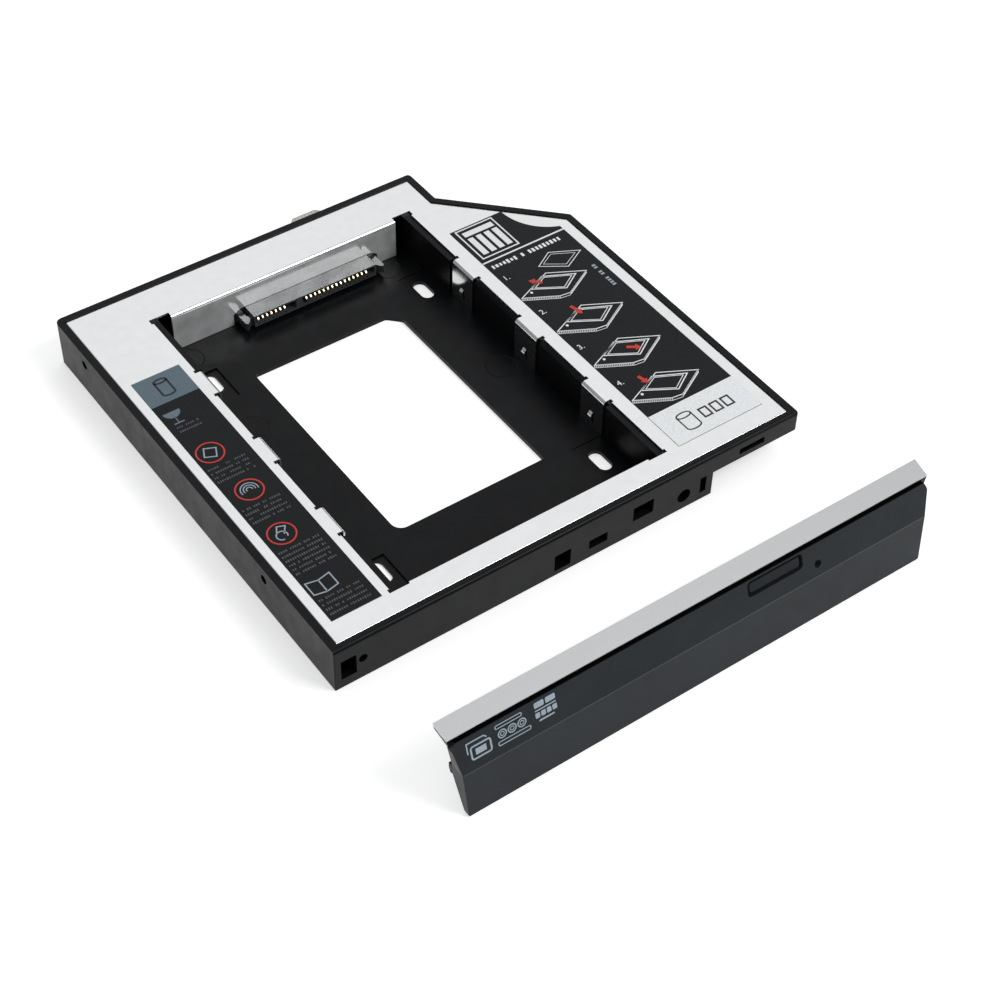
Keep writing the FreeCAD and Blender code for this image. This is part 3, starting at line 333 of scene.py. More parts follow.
def add_folded_parts(material, fold_height):
    """Under the folds the sheet kept its mill gloss, and the flange is dulled in soft blotches."""
    tree = material.node_tree
    shader = tree.nodes["Principled BSDF"]
    place = tree.nodes.new("ShaderNodeTexCoord").outputs["Object"]
    axes = tree.nodes.new("ShaderNodeSeparateXYZ")
    tree.links.new(place, axes.inputs[0])
    parts = []
    for axis, first, last in (("Y", FLANGE_FRONT, FLANGE_FRONT + FLANGE_EASE),
                              ("Z", fold_height, fold_height - FOLD_EASE)):
        edge = tree.nodes.new("ShaderNodeMapRange")
        edge.inputs["From Min"].default_value = first
        edge.inputs["From Max"].default_value = last
        tree.links.new(axes.outputs[axis], edge.inputs["Value"])
        parts.append(edge.outputs["Result"])
    both = tree.nodes.new("ShaderNodeMath")
    both.operation = "MULTIPLY"
    tree.links.new(parts[0], both.inputs[0])
    tree.links.new(parts[1], both.inputs[1])
    blotches = noise_of(tree, place, BLOTCH_SCALE)
    blotched = ranged(tree, blotches, FLANGE_METAL - BLOTCH_SPREAD, FLANGE_METAL + BLOTCH_SPREAD)
    satin = shader.inputs["Roughness"].links[0].from_socket
    tree.links.new(blended(tree, both.outputs[0], 1.0, blotched), shader.inputs["Metallic"])
    tree.links.new(blended(tree, parts[1], satin, FOLDED_ROUGHNESS), shader.inputs["Roughness"])


steel = rolled_steel("satin_zinc_steel", STEEL, STEEL_ROUGHNESS, STEEL_MOTTLE)
add_folded_parts(steel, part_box("top_plate")[1].z - FOLD_DROP)
finish_node("top_plate", steel)


# Drive socket: a glossy black glass-filled nylon moulding with two keyed mouths, held behind the
# plate's flange, and its gilded bronze fingers, pressed in from the back
SOCKET_BLACK = (0.050, 0.053, 0.056, 1)
GILT = (0.92, 0.78, 0.50, 1)
TINNED = (0.60, 0.57, 0.48, 1)
FINGER_WIDTH = 0.42
FINGER_THICK = 0.22
FINGER_PITCH = 1.27
FINGER_SIDE = [(111.3, 5.14), (108.9, 5.14), (108.6, 5.06), (107.95, 4.42), (107.6, 4.05), (107.5, 3.85)]
FINGER_ROWS = {"signal_contacts": (7, -18.40), "power_contacts": (15, -4.35)}
PLATING_CLOUDS = 900.0
PLATING_GRAIN = 5000.0
PLATING_DEPTH = 0.002 * MM

finish_node("drive_socket", moulded_plastic("socket_black_nylon", SOCKET_BLACK, roughness=0.15,
                                            grain=1500.0, depth=0.002 * MM, specular=1.0))


def plated(name, colour, roughness):
    """Metal with a thin plating, a little uneven in tone and relief."""
    material, tree, shader, place = new_surface(name, colour, roughness, metallic=1.0)
    add_tint(tree, shader, noise_of(tree, place, PLATING_CLOUDS), shaded(colour, 0.88), shaded(colour, 1.08))
    add_bump(tree, shader, noise_of(tree, place, PLATING_GRAIN, detail=2.0), PLATING_DEPTH)
    return material


def copies_tree():
    """Copies of one drawn form at even steps."""
    tree = bpy.data.node_groups.new("even_copies", "GeometryNodeTree")
    face = tree.interface
    face.new_socket("Geometry", in_out="INPUT", socket_type="NodeSocketGeometry")
    for name, kind in (("Drawing", "NodeSocketObject"), ("Copies", "NodeSocketInt"),
                       ("First", "NodeSocketVector"), ("Step", "NodeSocketVector"),
                       ("Finish", "NodeSocketMaterial")):
        face.new_socket(name, in_out="INPUT", socket_type=kind)
    face.new_socket("Geometry", in_out="OUTPUT", socket_type="NodeSocketGeometry")
    add = tree.nodes.new
    link = tree.links.new
    given = add("NodeGroupInput").outputs
    out = add("NodeGroupOutput")
    line = add("GeometryNodeMeshLine")
    link(given["Copies"], line.inputs["Count"])
    link(given["First"], line.inputs["Start Location"])
    link(given["Step"], line.inputs["Offset"])
    source = add("GeometryNodeObjectInfo")
    link(given["Drawing"], source.inputs["Object"])
    placed = add("GeometryNodeInstanceOnPoints")
    link(line.outputs[0], placed.inputs["Points"])
    link(source.outputs["Geometry"], placed.inputs["Instance"])
    real = add("GeometryNodeRealizeInstances")
    link(placed.outputs[0], real.inputs[0])
    finished = add("GeometryNodeSetMaterial")
    link(real.outputs[0], finished.inputs["Geometry"])
    link(given["Finish"], finished.inputs["Material"])
    link(finished.outputs[0], out.inputs[0])
    return tree


COPIES_TREE = copies_tree()


def grown(name, tree, values, body):
    """Run a node tree with its inputs set, and keep the result as a plain mesh that rides on a body."""
    seedling = new_object(name + "_source", bpy.data.meshes.new(name + "_source"))
    modifier = seedling.modifiers.new(name, "NODES")
    modifier.node_group = tree
    sockets = {item.name: item.identifier for item in tree.interface.items_tree if item.in_out == "INPUT"}
    for label, value in values.items():
        modifier[sockets[label]] = value
    graph = bpy.context.evaluated_depsgraph_get()
    data = bpy.data.meshes.new_from_object(seedling.evaluated_get(graph))
    data.name = name
    seedling.modifiers.clear()
    bpy.data.objects.remove(seedling)
    piece = new_object(name, data)
    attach(piece, body)
    return piece


def finger_form():
    """One sprung finger: a bent strip along the mouth's ceiling that slopes down to its rounded tip."""
    way = [Vector(point) for point in FINGER_SIDE]
    upper, lower = [], []
    for index, point in enumerate(way):
        before, after = way[max(index - 1, 0)], way[min(index + 1, len(way) - 1)]
        along = (after - before).normalized()
        upper.append(point)
        lower.append(point + Vector((-along.y, along.x)) * FINGER_THICK)
    outline = upper + lower[::-1]
    mesh = bmesh.new()
    rows = []
    for side in (-1, 1):
        rows.append([mesh.verts.new((side * FINGER_WIDTH / 2 * MM, y * MM, z * MM)) for y, z in outline])
    for row in rows:
        mesh.faces.new(row)
    for index in range(len(outline)):
        after = (index + 1) % len(outline)
        mesh.faces.new((rows[0][index], rows[0][after], rows[1][after], rows[1][index]))
    bmesh.ops.recalc_face_normals(mesh, faces=mesh.faces)
    data = bpy.data.meshes.new("finger_form")
    mesh.to_mesh(data)
    mesh.free()
    return new_object("finger_form", data)


gilt = plated("gilt_bronze", GILT, roughness=0.34)
finger = finger_form()
for contact_node, (count, first_x) in FINGER_ROWS.items():
    fingers = grown(contact_node.replace("contacts", "fingers"), COPIES_TREE, {
        "Drawing": finger, "Copies": count, "First": (first_x * MM, 0.0, 0.0),
        "Step": (FINGER_PITCH * MM, 0.0, 0.0), "Finish": gilt}, "caddy")
    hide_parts(contact_node)
bpy.data.objects.remove(finger)
finish_node("rear_contacts", plated("tinned_bronze", TINNED, roughness=0.35))


# Adapter board: green glass-epoxy laminate behind the flange, with two steel screws and three
# ceramic capacitors, all hidden under the plate
LAMINATE = (0.020, 0.110, 0.050, 1)
CERAMIC = (0.42, 0.30, 0.19, 1)
SCREW = (0.58, 0.58, 0.57, 1)

laminate = moulded_plastic("green_laminate", LAMINATE, roughness=0.35, grain=1400.0, depth=0.006 * MM)
finish_node("adapter_board", laminate)
finish_node("board_screws", plated("screw_steel", SCREW, roughness=0.30))
ceramic = moulded_plastic("tan_ceramic", CERAMIC, roughness=0.45, grain=3000.0, depth=0.004 * MM)
finish_node("board_capacitors", ceramic)


# Rear plug: a grey nylon block with slanted sides, soldered to the board, which looks out through
# the tray's back wall
PLUG_GREY = (0.50, 0.51, 0.49, 1)

plug_nylon = moulded_plastic("grey_nylon", PLUG_GREY, roughness=0.40, grain=2400.0, depth=0.006 * MM)
finish_node("rear_plug", plug_nylon)


# Left label: a strip of black polyester film glued to the plate, screen printed with a blue-grey
# header and rows of small pale marks. Places and sizes of print are in millimetres.
FILM_BLACK = (0.0060, 0.0070, 0.0080, 1)
PRINT_PALE = (0.36, 0.44, 0.51, 1)
PRINT_DIM = (0.085, 0.092, 0.100, 1)
PRINT_MIDDLE = (0.140, 0.185, 0.225, 1)
PRINT_RED = (0.66, 0.030, 0.018, 1)
PRINT_DARK = (0.006, 0.009, 0.014, 1)
HEADER_BLUE = (0.108, 0.160, 0.196, 1)
FILM_CLOUDS = 150.0
FILM_RIPPLE = 320.0
FILM_RIPPLE_DEPTH = 0.006 * MM
INK_CLOUDS = 2500.0
INK_HEIGHT = 0.015 * MM
MERGE_REACH = 1e-7
MITRE_LIMIT = 0.4
SYMBOL_LINE = 0.32
HEADER_LENGTH = 9.9
HEADER_DRUM_SHIFT = 0.2
DRUM_HALF = 1.6
DRUM_TALL = 6.0
DRUM_LINE = 0.55
DRUM_SQUEEZE = 0.42
HALF_DISC = ((-56.3, 82.6), 2.2)
FOOT_BLOCKS = [(-56.45, 78.6, -56.15, 80.6), (-57.6, 78.2, -55.0, 78.6)]
RING_RADIUS = 3.25
RING_LINE = 0.38
RING_PLACES = [(-55.4, 65.9), (-54.0, 50.8), (-55.0, 35.3)]
SQUARE_REACH = 2.0
SQUARE_TURN = 0.35
ARC_REACHES = (0.7, 1.4, 2.1)
ARC_LINE = 0.85 * SYMBOL_LINE
LOOP_MIDDLE = (-55.3, 34.7)
LOOP_RADIUS = 1.3
LOOP_TAIL = [(-54.6, 34.9), (-53.2, 36.9), (-55.0, 37.6), (-55.9, 36.0)]
LEAVES = [(-58.7, 16.0), (-58.7, 19.8), (-55.7, 19.2), (-52.6, 19.8), (-52.6, 16.0), (-55.7, 15.4)]
LEAVES_FOLD = [(-55.7, 15.4), (-55.7, 19.2)]
LETTER_PITCH = 0.58
ROW_PITCH = 1.5
LETTER_NARROWEST = 0.75
LETTER_SHORTEST = 0.6
SMALL_LETTER = (0.36, 0.7)
FIRST_SEED = 3
# first letter, letters in a row, rows, and the pitch of the rows
LEFT_TEXT = [((-57.6, 77.0), 10, 2, ROW_PITCH), ((-58.6, 61.0), 17, 4, ROW_PITCH),
             ((-58.6, 45.8), 17, 4, ROW_PITCH), ((-58.6, 30.4), 18, 6, 1.45),
             ((-58.6, 14.0), 18, 4, ROW_PITCH)]


def glued_film(name, colour):
    """Printed film, a little cloudy, which shows the plate's unevenness."""
    material, tree, shader, place = new_surface(name, colour, roughness=0.38, specular=0.16)
    add_tint(tree, shader, noise_of(tree, place, FILM_CLOUDS), shaded(colour, 0.9), shaded(colour, 1.1))
    add_bump(tree, shader, noise_of(tree, place, FILM_RIPPLE, detail=2.0), FILM_RIPPLE_DEPTH)
    return material


def printed_ink(name, colour):
    """Screen printed ink, a little uneven in tone."""
    material, tree, shader, place = new_surface(name, colour, roughness=0.5)
    add_tint(tree, shader, noise_of(tree, place, INK_CLOUDS), shaded(colour, 0.9), shaded(colour, 1.08))
    return material


def band(points, width, closed=False):
    """The four-cornered fields of a line of even width through some points, with mitred corners."""
    count = len(points)
    sides = []
    for index, (x, y) in enumerate(points):
        before = points[index - 1] if closed or index > 0 else None
        after = points[(index + 1) % count] if closed or index < count - 1 else None
        before_way = Vector((x - before[0], y - before[1])).normalized() if before else None
        after_way = Vector((after[0] - x, after[1] - y)).normalized() if after else None
        way = before_way or after_way
        if before_way and after_way:
            way = (before_way + after_way).normalized()
        normal = Vector((-way.y, way.x))
        straight = after_way or before_way
        share = max(MITRE_LIMIT, normal.dot(Vector((-straight.y, straight.x))))
        offset = normal * (width / 2 / share)
        sides.append(((x + offset.x, y + offset.y), (x - offset.x, y - offset.y)))
    ends = sides[1:] + sides[:1] if closed else sides[1:]
    return [[start[1], end[1], end[0], start[0]] for start, end in zip(sides, ends)]


def arc(centre, radius, first, last, steps=24, squeeze=1.0):
    """Points along an arc from one angle to another, flattened where squeeze is under 1."""
    turns = [first + (last - first) * step / steps for step in range(steps + 1)]
    return [(centre[0] + radius * cos(turn), centre[1] + squeeze * radius * sin(turn)) for turn in turns]


def ring(centre, radius, width, squeeze=1.0):
    """A ring of 32 fields."""
    return band(arc(centre, radius, 0, 2 * pi * 31 / 32, 31, squeeze), width, closed=True)


def drum(centre, half, tall, width):
    """A plain drum outline: a flat oval on two uprights and a half oval."""
    x, y = centre
    rim = tall / 2 - half * DRUM_SQUEEZE
    under = arc((x, y - rim), half, pi, 2 * pi, 16, DRUM_SQUEEZE)
    walls = [(x - half, y + rim)] + under + [(x + half, y + rim)]
    return ring((x, y + rim), half, width, DRUM_SQUEEZE) + band(walls, width)


def block(left, low, right, high):
    """The corners of a plain block."""
    return [(left, low), (right, low), (right, high), (left, high)]


def raised_mesh(name, fields, lift):
    """Flat fields, each a list of corners in metres, drawn out along lift into a thin relief."""
    mesh = bmesh.new()
    for corners in fields:
        mesh.faces.new([mesh.verts.new(corner) for corner in corners])
    bmesh.ops.remove_doubles(mesh, verts=mesh.verts, dist=MERGE_REACH)
    raised = bmesh.ops.extrude_face_region(mesh, geom=mesh.faces[:])["geom"]
    tops = [item for item in raised if isinstance(item, bmesh.types.BMVert)]
    bmesh.ops.translate(mesh, verts=tops, vec=lift)
    bmesh.ops.recalc_face_normals(mesh, faces=mesh.faces)
    data = bpy.data.meshes.new(name)
    mesh.to_mesh(data)
    mesh.free()
    return data


def level_fields(fields, height):
    """Fields in millimetres, laid level at a height in metres."""
    return [[(x * MM, y * MM, height) for x, y in corners] for corners in fields]


def print_piece(name, fields, low, material, body="caddy"):
    """Ink on a label, a hair thick, from closed fields in millimetres."""
    data = raised_mesh(name, level_fields(fields, low), (0, 0, INK_HEIGHT))
    data.materials.append(material)
    piece = new_object(name, data)
    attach(piece, body)
    return piece


def letter_tree():
    """Rows of small blocks that stand for print too small to read."""
    tree = bpy.data.node_groups.new("letter_rows", "GeometryNodeTree")
    face = tree.interface
    face.new_socket("Geometry", in_out="INPUT", socket_type="NodeSocketGeometry")
    for name, kind in (("First letter", "NodeSocketVector"), ("Letters", "NodeSocketInt"),
                       ("Rows", "NodeSocketInt"), ("Letter pitch", "NodeSocketFloat"),
                       ("Row pitch", "NodeSocketFloat"), ("Letter size", "NodeSocketVector"),
                       ("Gaps", "NodeSocketFloat"), ("Seed", "NodeSocketInt"),
                       ("Ink", "NodeSocketMaterial")):
        face.new_socket(name, in_out="INPUT", socket_type=kind)
    face.new_socket("Geometry", in_out="OUTPUT", socket_type="NodeSocketGeometry")
    add = tree.nodes.new
    link = tree.links.new
    given = add("NodeGroupInput").outputs
    out = add("NodeGroupOutput")

    def whole_length(count, pitch):
        steps = add("ShaderNodeMath")
        steps.operation = "SUBTRACT"
        steps.inputs[1].default_value = 1.0
        link(count, steps.inputs[0])
        length = add("ShaderNodeMath")
        length.operation = "MULTIPLY"
        link(steps.outputs[0], length.inputs[0])
        link(pitch, length.inputs[1])
        return length.outputs[0]

    grid = add("GeometryNodeMeshGrid")
    half = add("ShaderNodeCombineXYZ")
    for axis, count, pitch, share in (("X", "Letters", "Letter pitch", 0.5),
                                      ("Y", "Rows", "Row pitch", -0.5)):
        length = whole_length(given[count], given[pitch])
        link(length, grid.inputs["Size " + axis])
        link(given[count], grid.inputs["Vertices " + axis])
        halved = add("ShaderNodeMath")
        halved.operation = "MULTIPLY"
        halved.inputs[1].default_value = share
        link(length, halved.inputs[0])
        link(halved.outputs[0], half.inputs[axis])
    shift = add("ShaderNodeVectorMath")
    link(half.outputs[0], shift.inputs[0])
    link(given["First letter"], shift.inputs[1])
    moved = add("GeometryNodeTransform")
    link(grid.outputs["Mesh"], moved.inputs["Geometry"])
    link(shift.outputs[0], moved.inputs["Translation"])
    spaces = add("FunctionNodeRandomValue")
    spaces.data_type = "BOOLEAN"
    link(given["Gaps"], spaces.inputs["Probability"])
    link(given["Seed"], spaces.inputs["Seed"])
    points = add("GeometryNodeMeshToPoints")
    link(moved.outputs[0], points.inputs["Mesh"])
    thinned = add("GeometryNodeDeleteGeometry")
    link(points.outputs[0], thinned.inputs["Geometry"])
    link(spaces.outputs["Value"], thinned.inputs["Selection"])
    letter = add("GeometryNodeMeshCube")
    link(given["Letter size"], letter.inputs["Size"])
    sizes = add("FunctionNodeRandomValue")
    sizes.data_type = "FLOAT_VECTOR"
    sizes.inputs["Min"].default_value = (LETTER_NARROWEST, LETTER_SHORTEST, 1)
    sizes.inputs["Max"].default_value = (1, 1, 1)
    link(given["Seed"], sizes.inputs["Seed"])
    placed = add("GeometryNodeInstanceOnPoints")
    link(thinned.outputs[0], placed.inputs["Points"])
    link(letter.outputs["Mesh"], placed.inputs["Instance"])
    link(sizes.outputs["Value"], placed.inputs["Scale"])
    real = add("GeometryNodeRealizeInstances")
    link(placed.outputs[0], real.inputs[0])
    inked = add("GeometryNodeSetMaterial")
    link(real.outputs[0], inked.inputs["Geometry"])
    link(given["Ink"], inked.inputs["Material"])
    link(inked.outputs[0], out.inputs[0])
    return tree


LETTER_TREE = letter_tree()


def letter_block(name, first, letters, rows, ink, size, seed, pitch=LETTER_PITCH, row_pitch=ROW_PITCH,
                 gaps=0.16):
    """Such rows on a label, from the middle of the first letter."""
    return grown(name, LETTER_TREE, {
        "First letter": (first[0] * MM, first[1] * MM, label_top + INK_HEIGHT / 2),
        "Letters": letters, "Rows": rows, "Letter pitch": pitch * MM, "Row pitch": row_pitch * MM,
        "Letter size": (size[0] * MM, size[1] * MM, INK_HEIGHT),
        "Gaps": gaps, "Seed": seed, "Ink": ink}, "caddy")


left_low, left_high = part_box("left_label")
label_top = left_high.z
ink_top = label_top + INK_HEIGHT
left_side, left_right, left_back = left_low.x / MM, left_high.x / MM, left_high.y / MM
film = glued_film("black_label_film", FILM_BLACK)
finish_node("left_label", film)
pale_ink = printed_ink("pale_blue_ink", PRINT_PALE)
dim_ink = printed_ink("dim_grey_ink", PRINT_DIM)
red_ink = printed_ink("red_ink", PRINT_RED)
header = block(left_side, left_back - HEADER_LENGTH, left_right, left_back)
print_piece("left_header", [header], label_top, printed_ink("header_blue_ink", HEADER_BLUE))
header_middle = ((left_side + left_right) / 2 - HEADER_DRUM_SHIFT, left_back - HEADER_LENGTH / 2)
print_piece("left_header_drum", drum(header_middle, DRUM_HALF, DRUM_TALL, DRUM_LINE), ink_top,
            printed_ink("dark_blue_ink", PRINT_DARK))

# a half disc above a short foot
half_disc = arc(*HALF_DISC, pi, 2 * pi, 18)
print_piece("left_half_disc", [half_disc] + [block(*sides) for sides in FOOT_BLOCKS], label_top,
            printed_ink("grey_blue_ink", PRINT_MIDDLE))

# a turned square, a set of arcs and a loop, each inside its ring
turned_square = arc(RING_PLACES[0], SQUARE_REACH, SQUARE_TURN, SQUARE_TURN + 1.5 * pi, 3)
left_symbols = band(turned_square, SYMBOL_LINE, closed=True)
for arc_reach in ARC_REACHES:
    left_symbols += band(arc(RING_PLACES[1], arc_reach, -0.3, pi + 0.3, 18), ARC_LINE)
left_symbols += band(arc(LOOP_MIDDLE, LOOP_RADIUS, -0.6, 1.5 * pi, 20), SYMBOL_LINE)
left_symbols += band(LOOP_TAIL, SYMBOL_LINE)

# two leaves of a folded sheet
left_symbols += band(LEAVES, SYMBOL_LINE, closed=True)
left_symbols += band(LEAVES_FOLD, SYMBOL_LINE)
print_piece("left_symbols", left_symbols, label_top, pale_ink)
red_rings = [field for place in RING_PLACES for field in ring(place, RING_RADIUS, RING_LINE)]
print_piece("left_rings", red_rings, label_top, red_ink)
for index, (place, letters, rows, row_pitch) in enumerate(LEFT_TEXT):
    letter_block(f"left_text_{index + 1}", place, letters, rows, dim_ink, SMALL_LETTER,
                 seed=index + FIRST_SEED, row_pitch=row_pitch)


# Right label: a wider black film with a white end field, whose four small figures show a slim
# tray and a red arrow each, beside their step numbers
WHITE_INK = (0.93, 0.95, 0.96, 1)
BLACK_INK = (0.012, 0.013, 0.015, 1)
FIGURES = 4
FIGURE_PITCH = 14.72
FIGURE_FIRST = (34.5, 69.3)
FIGURE_DOWN = (-0.45, -0.78)
FIGURE_OUTLINE = [(0, 0), (10.5, 4.5), (19.5, -0.4), (11.2, -4.9), (8.3, -4.5)]
FIGURE_OPENING = [(3.9, 1.5), (8.9, 4.0), (16.6, 0.15), (11.5, -3.0)]
FIGURE_MIDDLE = (10.2, 0.6)
INNER_SHARE = 0.82
FIGURE_DOT = (3.2, 0.4)
DOT_RADIUS = 0.38
OUTLINE_LINE = 0.26
OPENING_LINE = 0.3
INNER_LINE = 0.2
HATCH_LINE = 0.16
HATCHES = 22
ARROWS = [((42.2, 71.3), (39.7, 73.8)), ((42.6, 60.3), (43.5, 56.4)), ((44.8, 40.7), (47.9, 38.7)),
          ((40.7, 31.0), (41.4, 27.8))]
ARROW_HALF = 0.45
HEAD_HALF = 1.1
HEAD_LENGTH = 1.5
END_FIELD = 11.4
TITLE_PLACE = (35.5, 82.9)
TITLE_LETTER = (0.75, 1.5)
TITLE_LINE = 85.35
WIDE_LINE = 0.5
BARS_FRAME = (35.3, 87.0, 46.3, 99.4)
BARS_TOP = (36.4, 96.4, 45.35, 98.2)
BARS_LINE = 0.4
BARS_LEFT = (36.4, 38.85, 41.3, 43.75)
BARS_LOW = 88.2
BARS_HIGH = 95.6
BAR_WIDTH = 1.6
LOOSE_OUTER = [(45.1, 76.8), (50.3, 79.9), (57.6, 76.1), (51.3, 72.7)]
LOOSE_INNER = [(46.6, 76.9), (50.4, 79.0), (55.9, 76.1), (51.4, 73.7)]
LOOSE_OUTER_LINE = 0.22
LOOSE_INNER_LINE = 0.14
END_DRUM = ((41.2, 12.5), 2.0, 5.8, 0.38)
END_FRAMES_LEFT = (45.2, 48.5, 51.8)
END_FRAME_LOW = 11.2
END_FRAME_HIGH = 14.1
END_FRAME_WIDTH = 2.1
SMALL_BARS = 10
SMALL_BAR_GAPS = (4, 7)
SMALL_BAR_FIRST = (56.2, 60.6)
SMALL_BAR_SIZE = (1.0, 0.6)
SMALL_BAR_PITCH = 0.95
NUMBER_FIRST = (34.9, 77.0)
NUMBER_PITCH = 15.4
NUMBER_HEIGHT = 2.4

right_low, right_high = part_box("right_label")
right_side, right_edge, right_front = right_low.x / MM, right_high.x / MM, right_low.y / MM
finish_node("right_label", film)
white_ink = printed_ink("white_ink", WHITE_INK)
black_ink = printed_ink("black_ink", BLACK_INK)


def figure_fields():
    """One figure about its own left corner: a slim tray seen from a corner, its front edge hatched."""
    def lowered(point):
        return (point[0] + FIGURE_DOWN[0], point[1] + FIGURE_DOWN[1])

    fields = band(FIGURE_OUTLINE, OUTLINE_LINE, closed=True)
    fields += band(FIGURE_OPENING, OPENING_LINE, closed=True)
    inner = [tuple(middle + (part - middle) * INNER_SHARE for part, middle in zip(corner, FIGURE_MIDDLE))
             for corner in FIGURE_OPENING]
    fields += band(inner, INNER_LINE, closed=True)
    left, right, low, front = (FIGURE_OUTLINE[index] for index in (0, 2, 3, 4))
    for step in range(HATCHES + 1):
        share = step / HATCHES
        top = (left[0] + (front[0] - left[0]) * share, left[1] + (front[1] - left[1]) * share)
        fields += band([top, lowered(top)], HATCH_LINE)
    fields += band([lowered(left), lowered(front), lowered(low)], HATCH_LINE)
    fields += band([low, lowered(low)], HATCH_LINE)
    fields += [[lowered(low), lowered(right), right, low]]
    fields += [arc(FIGURE_DOT, DOT_RADIUS, 0, 2 * pi * 11 / 12, 11)]
    return fields


figure = new_object("step_figure", raised_mesh("step_figure", level_fields(figure_fields(), 0),
                                               (0, 0, INK_HEIGHT)))
grown("right_figures", COPIES_TREE, {
    "Drawing": figure, "Copies": FIGURES,
    "First": (FIGURE_FIRST[0] * MM, FIGURE_FIRST[1] * MM, label_top),
    "Step": (0.0, -FIGURE_PITCH * MM, 0.0), "Finish": white_ink}, "caddy")
bpy.data.objects.remove(figure)


def arrow(tail, tip):
    """A red arrow with a wide head."""
    tail, tip = Vector(tail), Vector(tip)
    way = (tip - tail).normalized()
    side = Vector((-way.y, way.x))
    neck = tip - way * HEAD_LENGTH
    corners = [tail - side * ARROW_HALF, neck - side * ARROW_HALF, neck - side * HEAD_HALF, tip,
               neck + side * HEAD_HALF, neck + side * ARROW_HALF, tail + side * ARROW_HALF]
    return [tuple(corner) for corner in corners]


print_piece("right_arrows", [arrow(*ends) for ends in ARROWS], ink_top, red_ink)

white_fields = [block(right_side, right_front, right_edge, right_front + END_FIELD)]
white_fields += band([(right_side, TITLE_LINE), (right_edge, TITLE_LINE)], WIDE_LINE)

# a plain block of bars above the line
white_fields += band(block(*BARS_FRAME), BARS_LINE, closed=True)
white_fields += [block(left, BARS_LOW, left + BAR_WIDTH, BARS_HIGH) for left in BARS_LEFT]
white_fields += [block(*BARS_TOP)]

# the loose drive above the first figure
white_fields += band(LOOSE_OUTER, LOOSE_OUTER_LINE, closed=True)
white_fields += band(LOOSE_INNER, LOOSE_INNER_LINE, closed=True)
print_piece("right_white", white_fields, label_top, white_ink)
print_piece("right_end_drum", drum(*END_DRUM), ink_top, black_ink)
end_frames = []
for left in END_FRAMES_LEFT:
    end_frame = block(left, END_FRAME_LOW, left + END_FRAME_WIDTH, END_FRAME_HIGH)
    end_frames += band(end_frame, WIDE_LINE, closed=True)
print_piece("right_end_frames", end_frames, ink_top, black_ink)
letter_block("right_title_a", TITLE_PLACE, 20, 1, white_ink, TITLE_LETTER, seed=5, pitch=1.12, gaps=0.1)

# a short line of small print beside the second figure, across the label
bar_left, bars_start = SMALL_BAR_FIRST
bar_wide, bar_tall = SMALL_BAR_SIZE
small_bars = []
for step in range(SMALL_BARS):
    if step not in SMALL_BAR_GAPS:
        bar_low = bars_start + step * SMALL_BAR_PITCH
        small_bars += [block(bar_left, bar_low, bar_left + bar_wide, bar_low + bar_tall)]
print_piece("right_small_bars", small_bars, label_top, pale_ink)


def step_number(name, text, x, y):
    """A step number as ink, from the plain built-in letters."""
    curve = bpy.data.curves.new(name, "FONT")
    curve.body = text
    curve.size = NUMBER_HEIGHT * MM
    curve.extrude = INK_HEIGHT / 2
    source = new_object(name + "_source", curve)
    data = bpy.data.meshes.new_from_object(source.evaluated_get(bpy.context.evaluated_depsgraph_get()))
    bpy.data.objects.remove(source)
    data.transform(Matrix.Translation((x * MM, y * MM, label_top + INK_HEIGHT / 2)))
    data.materials.clear()
    data.materials.append(white_ink)
    piece = new_object(name, data)
    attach(piece, "caddy")


number_left, number_top = NUMBER_FIRST
for step in range(FIGURES):
    step_number(f"step_number_{step + 1}", f"{step + 1}.", number_left, number_top - step * NUMBER_PITCH)


# Faceplate: a black ABS shell, its face satin with a fine grain, that clips onto the tray's front.
# Three groups of small pale marks are pad printed near its left end.
FACE_BLACK = (0.0105, 0.0148, 0.0192, 1)
# painted highlight: a lighter black for the line of light along the crease
CREASE_PAINTED_HIGHLIGHT = shaded(FACE_BLACK, 1.7)
# painted shade: the near black of the groove under the trim, of the trim's lowest edge and of the button's
# recess
PAINTED_SHADE_BLACK = (0.0010, 0.0010, 0.0012, 1)
MARK_INK = (0.38, 0.47, 0.53, 1)
CREASE = Vector((0, -41.0, 12.4))
BROW = Vector((0, -38.5, 20.55))
GROOVE_EASE = 0.1
FACE_MIDDLE = 2.87
THIN_LIFT = 0.004 * MM
CREASE_HIGHLIGHT_LINE = (-62.2, -0.12, 62.2, 0.12)
RECESS = (12.0, 4.5, 26.8, 7.95, 0.8)
RECESS_SHADE_WIDTH = 0.55


def tinted_level(material, start, end, colour):
    """Change a surface's colour from one height to another, measured on the object itself."""
    tree = material.node_tree
    shader = tree.nodes["Principled BSDF"]
    axes = tree.nodes.new("ShaderNodeSeparateXYZ")
    tree.links.new(tree.nodes.new("ShaderNodeTexCoord").outputs["Object"], axes.inputs[0])
    level = tree.nodes.new("ShaderNodeMapRange")
    level.inputs["From Min"].default_value = start * MM
    level.inputs["From Max"].default_value = end * MM
    tree.links.new(axes.outputs["Z"], level.inputs["Value"])
    mix = tree.nodes.new("ShaderNodeMix")
    mix.data_type = "RGBA"
    tree.links.new(level.outputs["Result"], mix.inputs["Factor"])
    tree.links.new(shader.inputs["Base Color"].links[0].from_socket, mix.inputs["A"])
    mix.inputs["B"].default_value = colour
    tree.links.new(mix.outputs["Result"], shader.inputs["Base Color"])
    return level.outputs["Result"]


face_plastic = moulded_plastic("face_black_plastic", FACE_BLACK, roughness=0.36, grain=2400.0,
                               depth=0.010 * MM, specular=0.16)
groove = tinted_level(face_plastic, BROW.z, BROW.z + GROOVE_EASE, PAINTED_SHADE_BLACK)
# painted shade: the groove under the trim is made near black and metallic, so that it takes no sheen
face_plastic.node_tree.links.new(groove, face_plastic.node_tree.nodes["Principled BSDF"].inputs["Metallic"])
finish_node("faceplate", face_plastic)


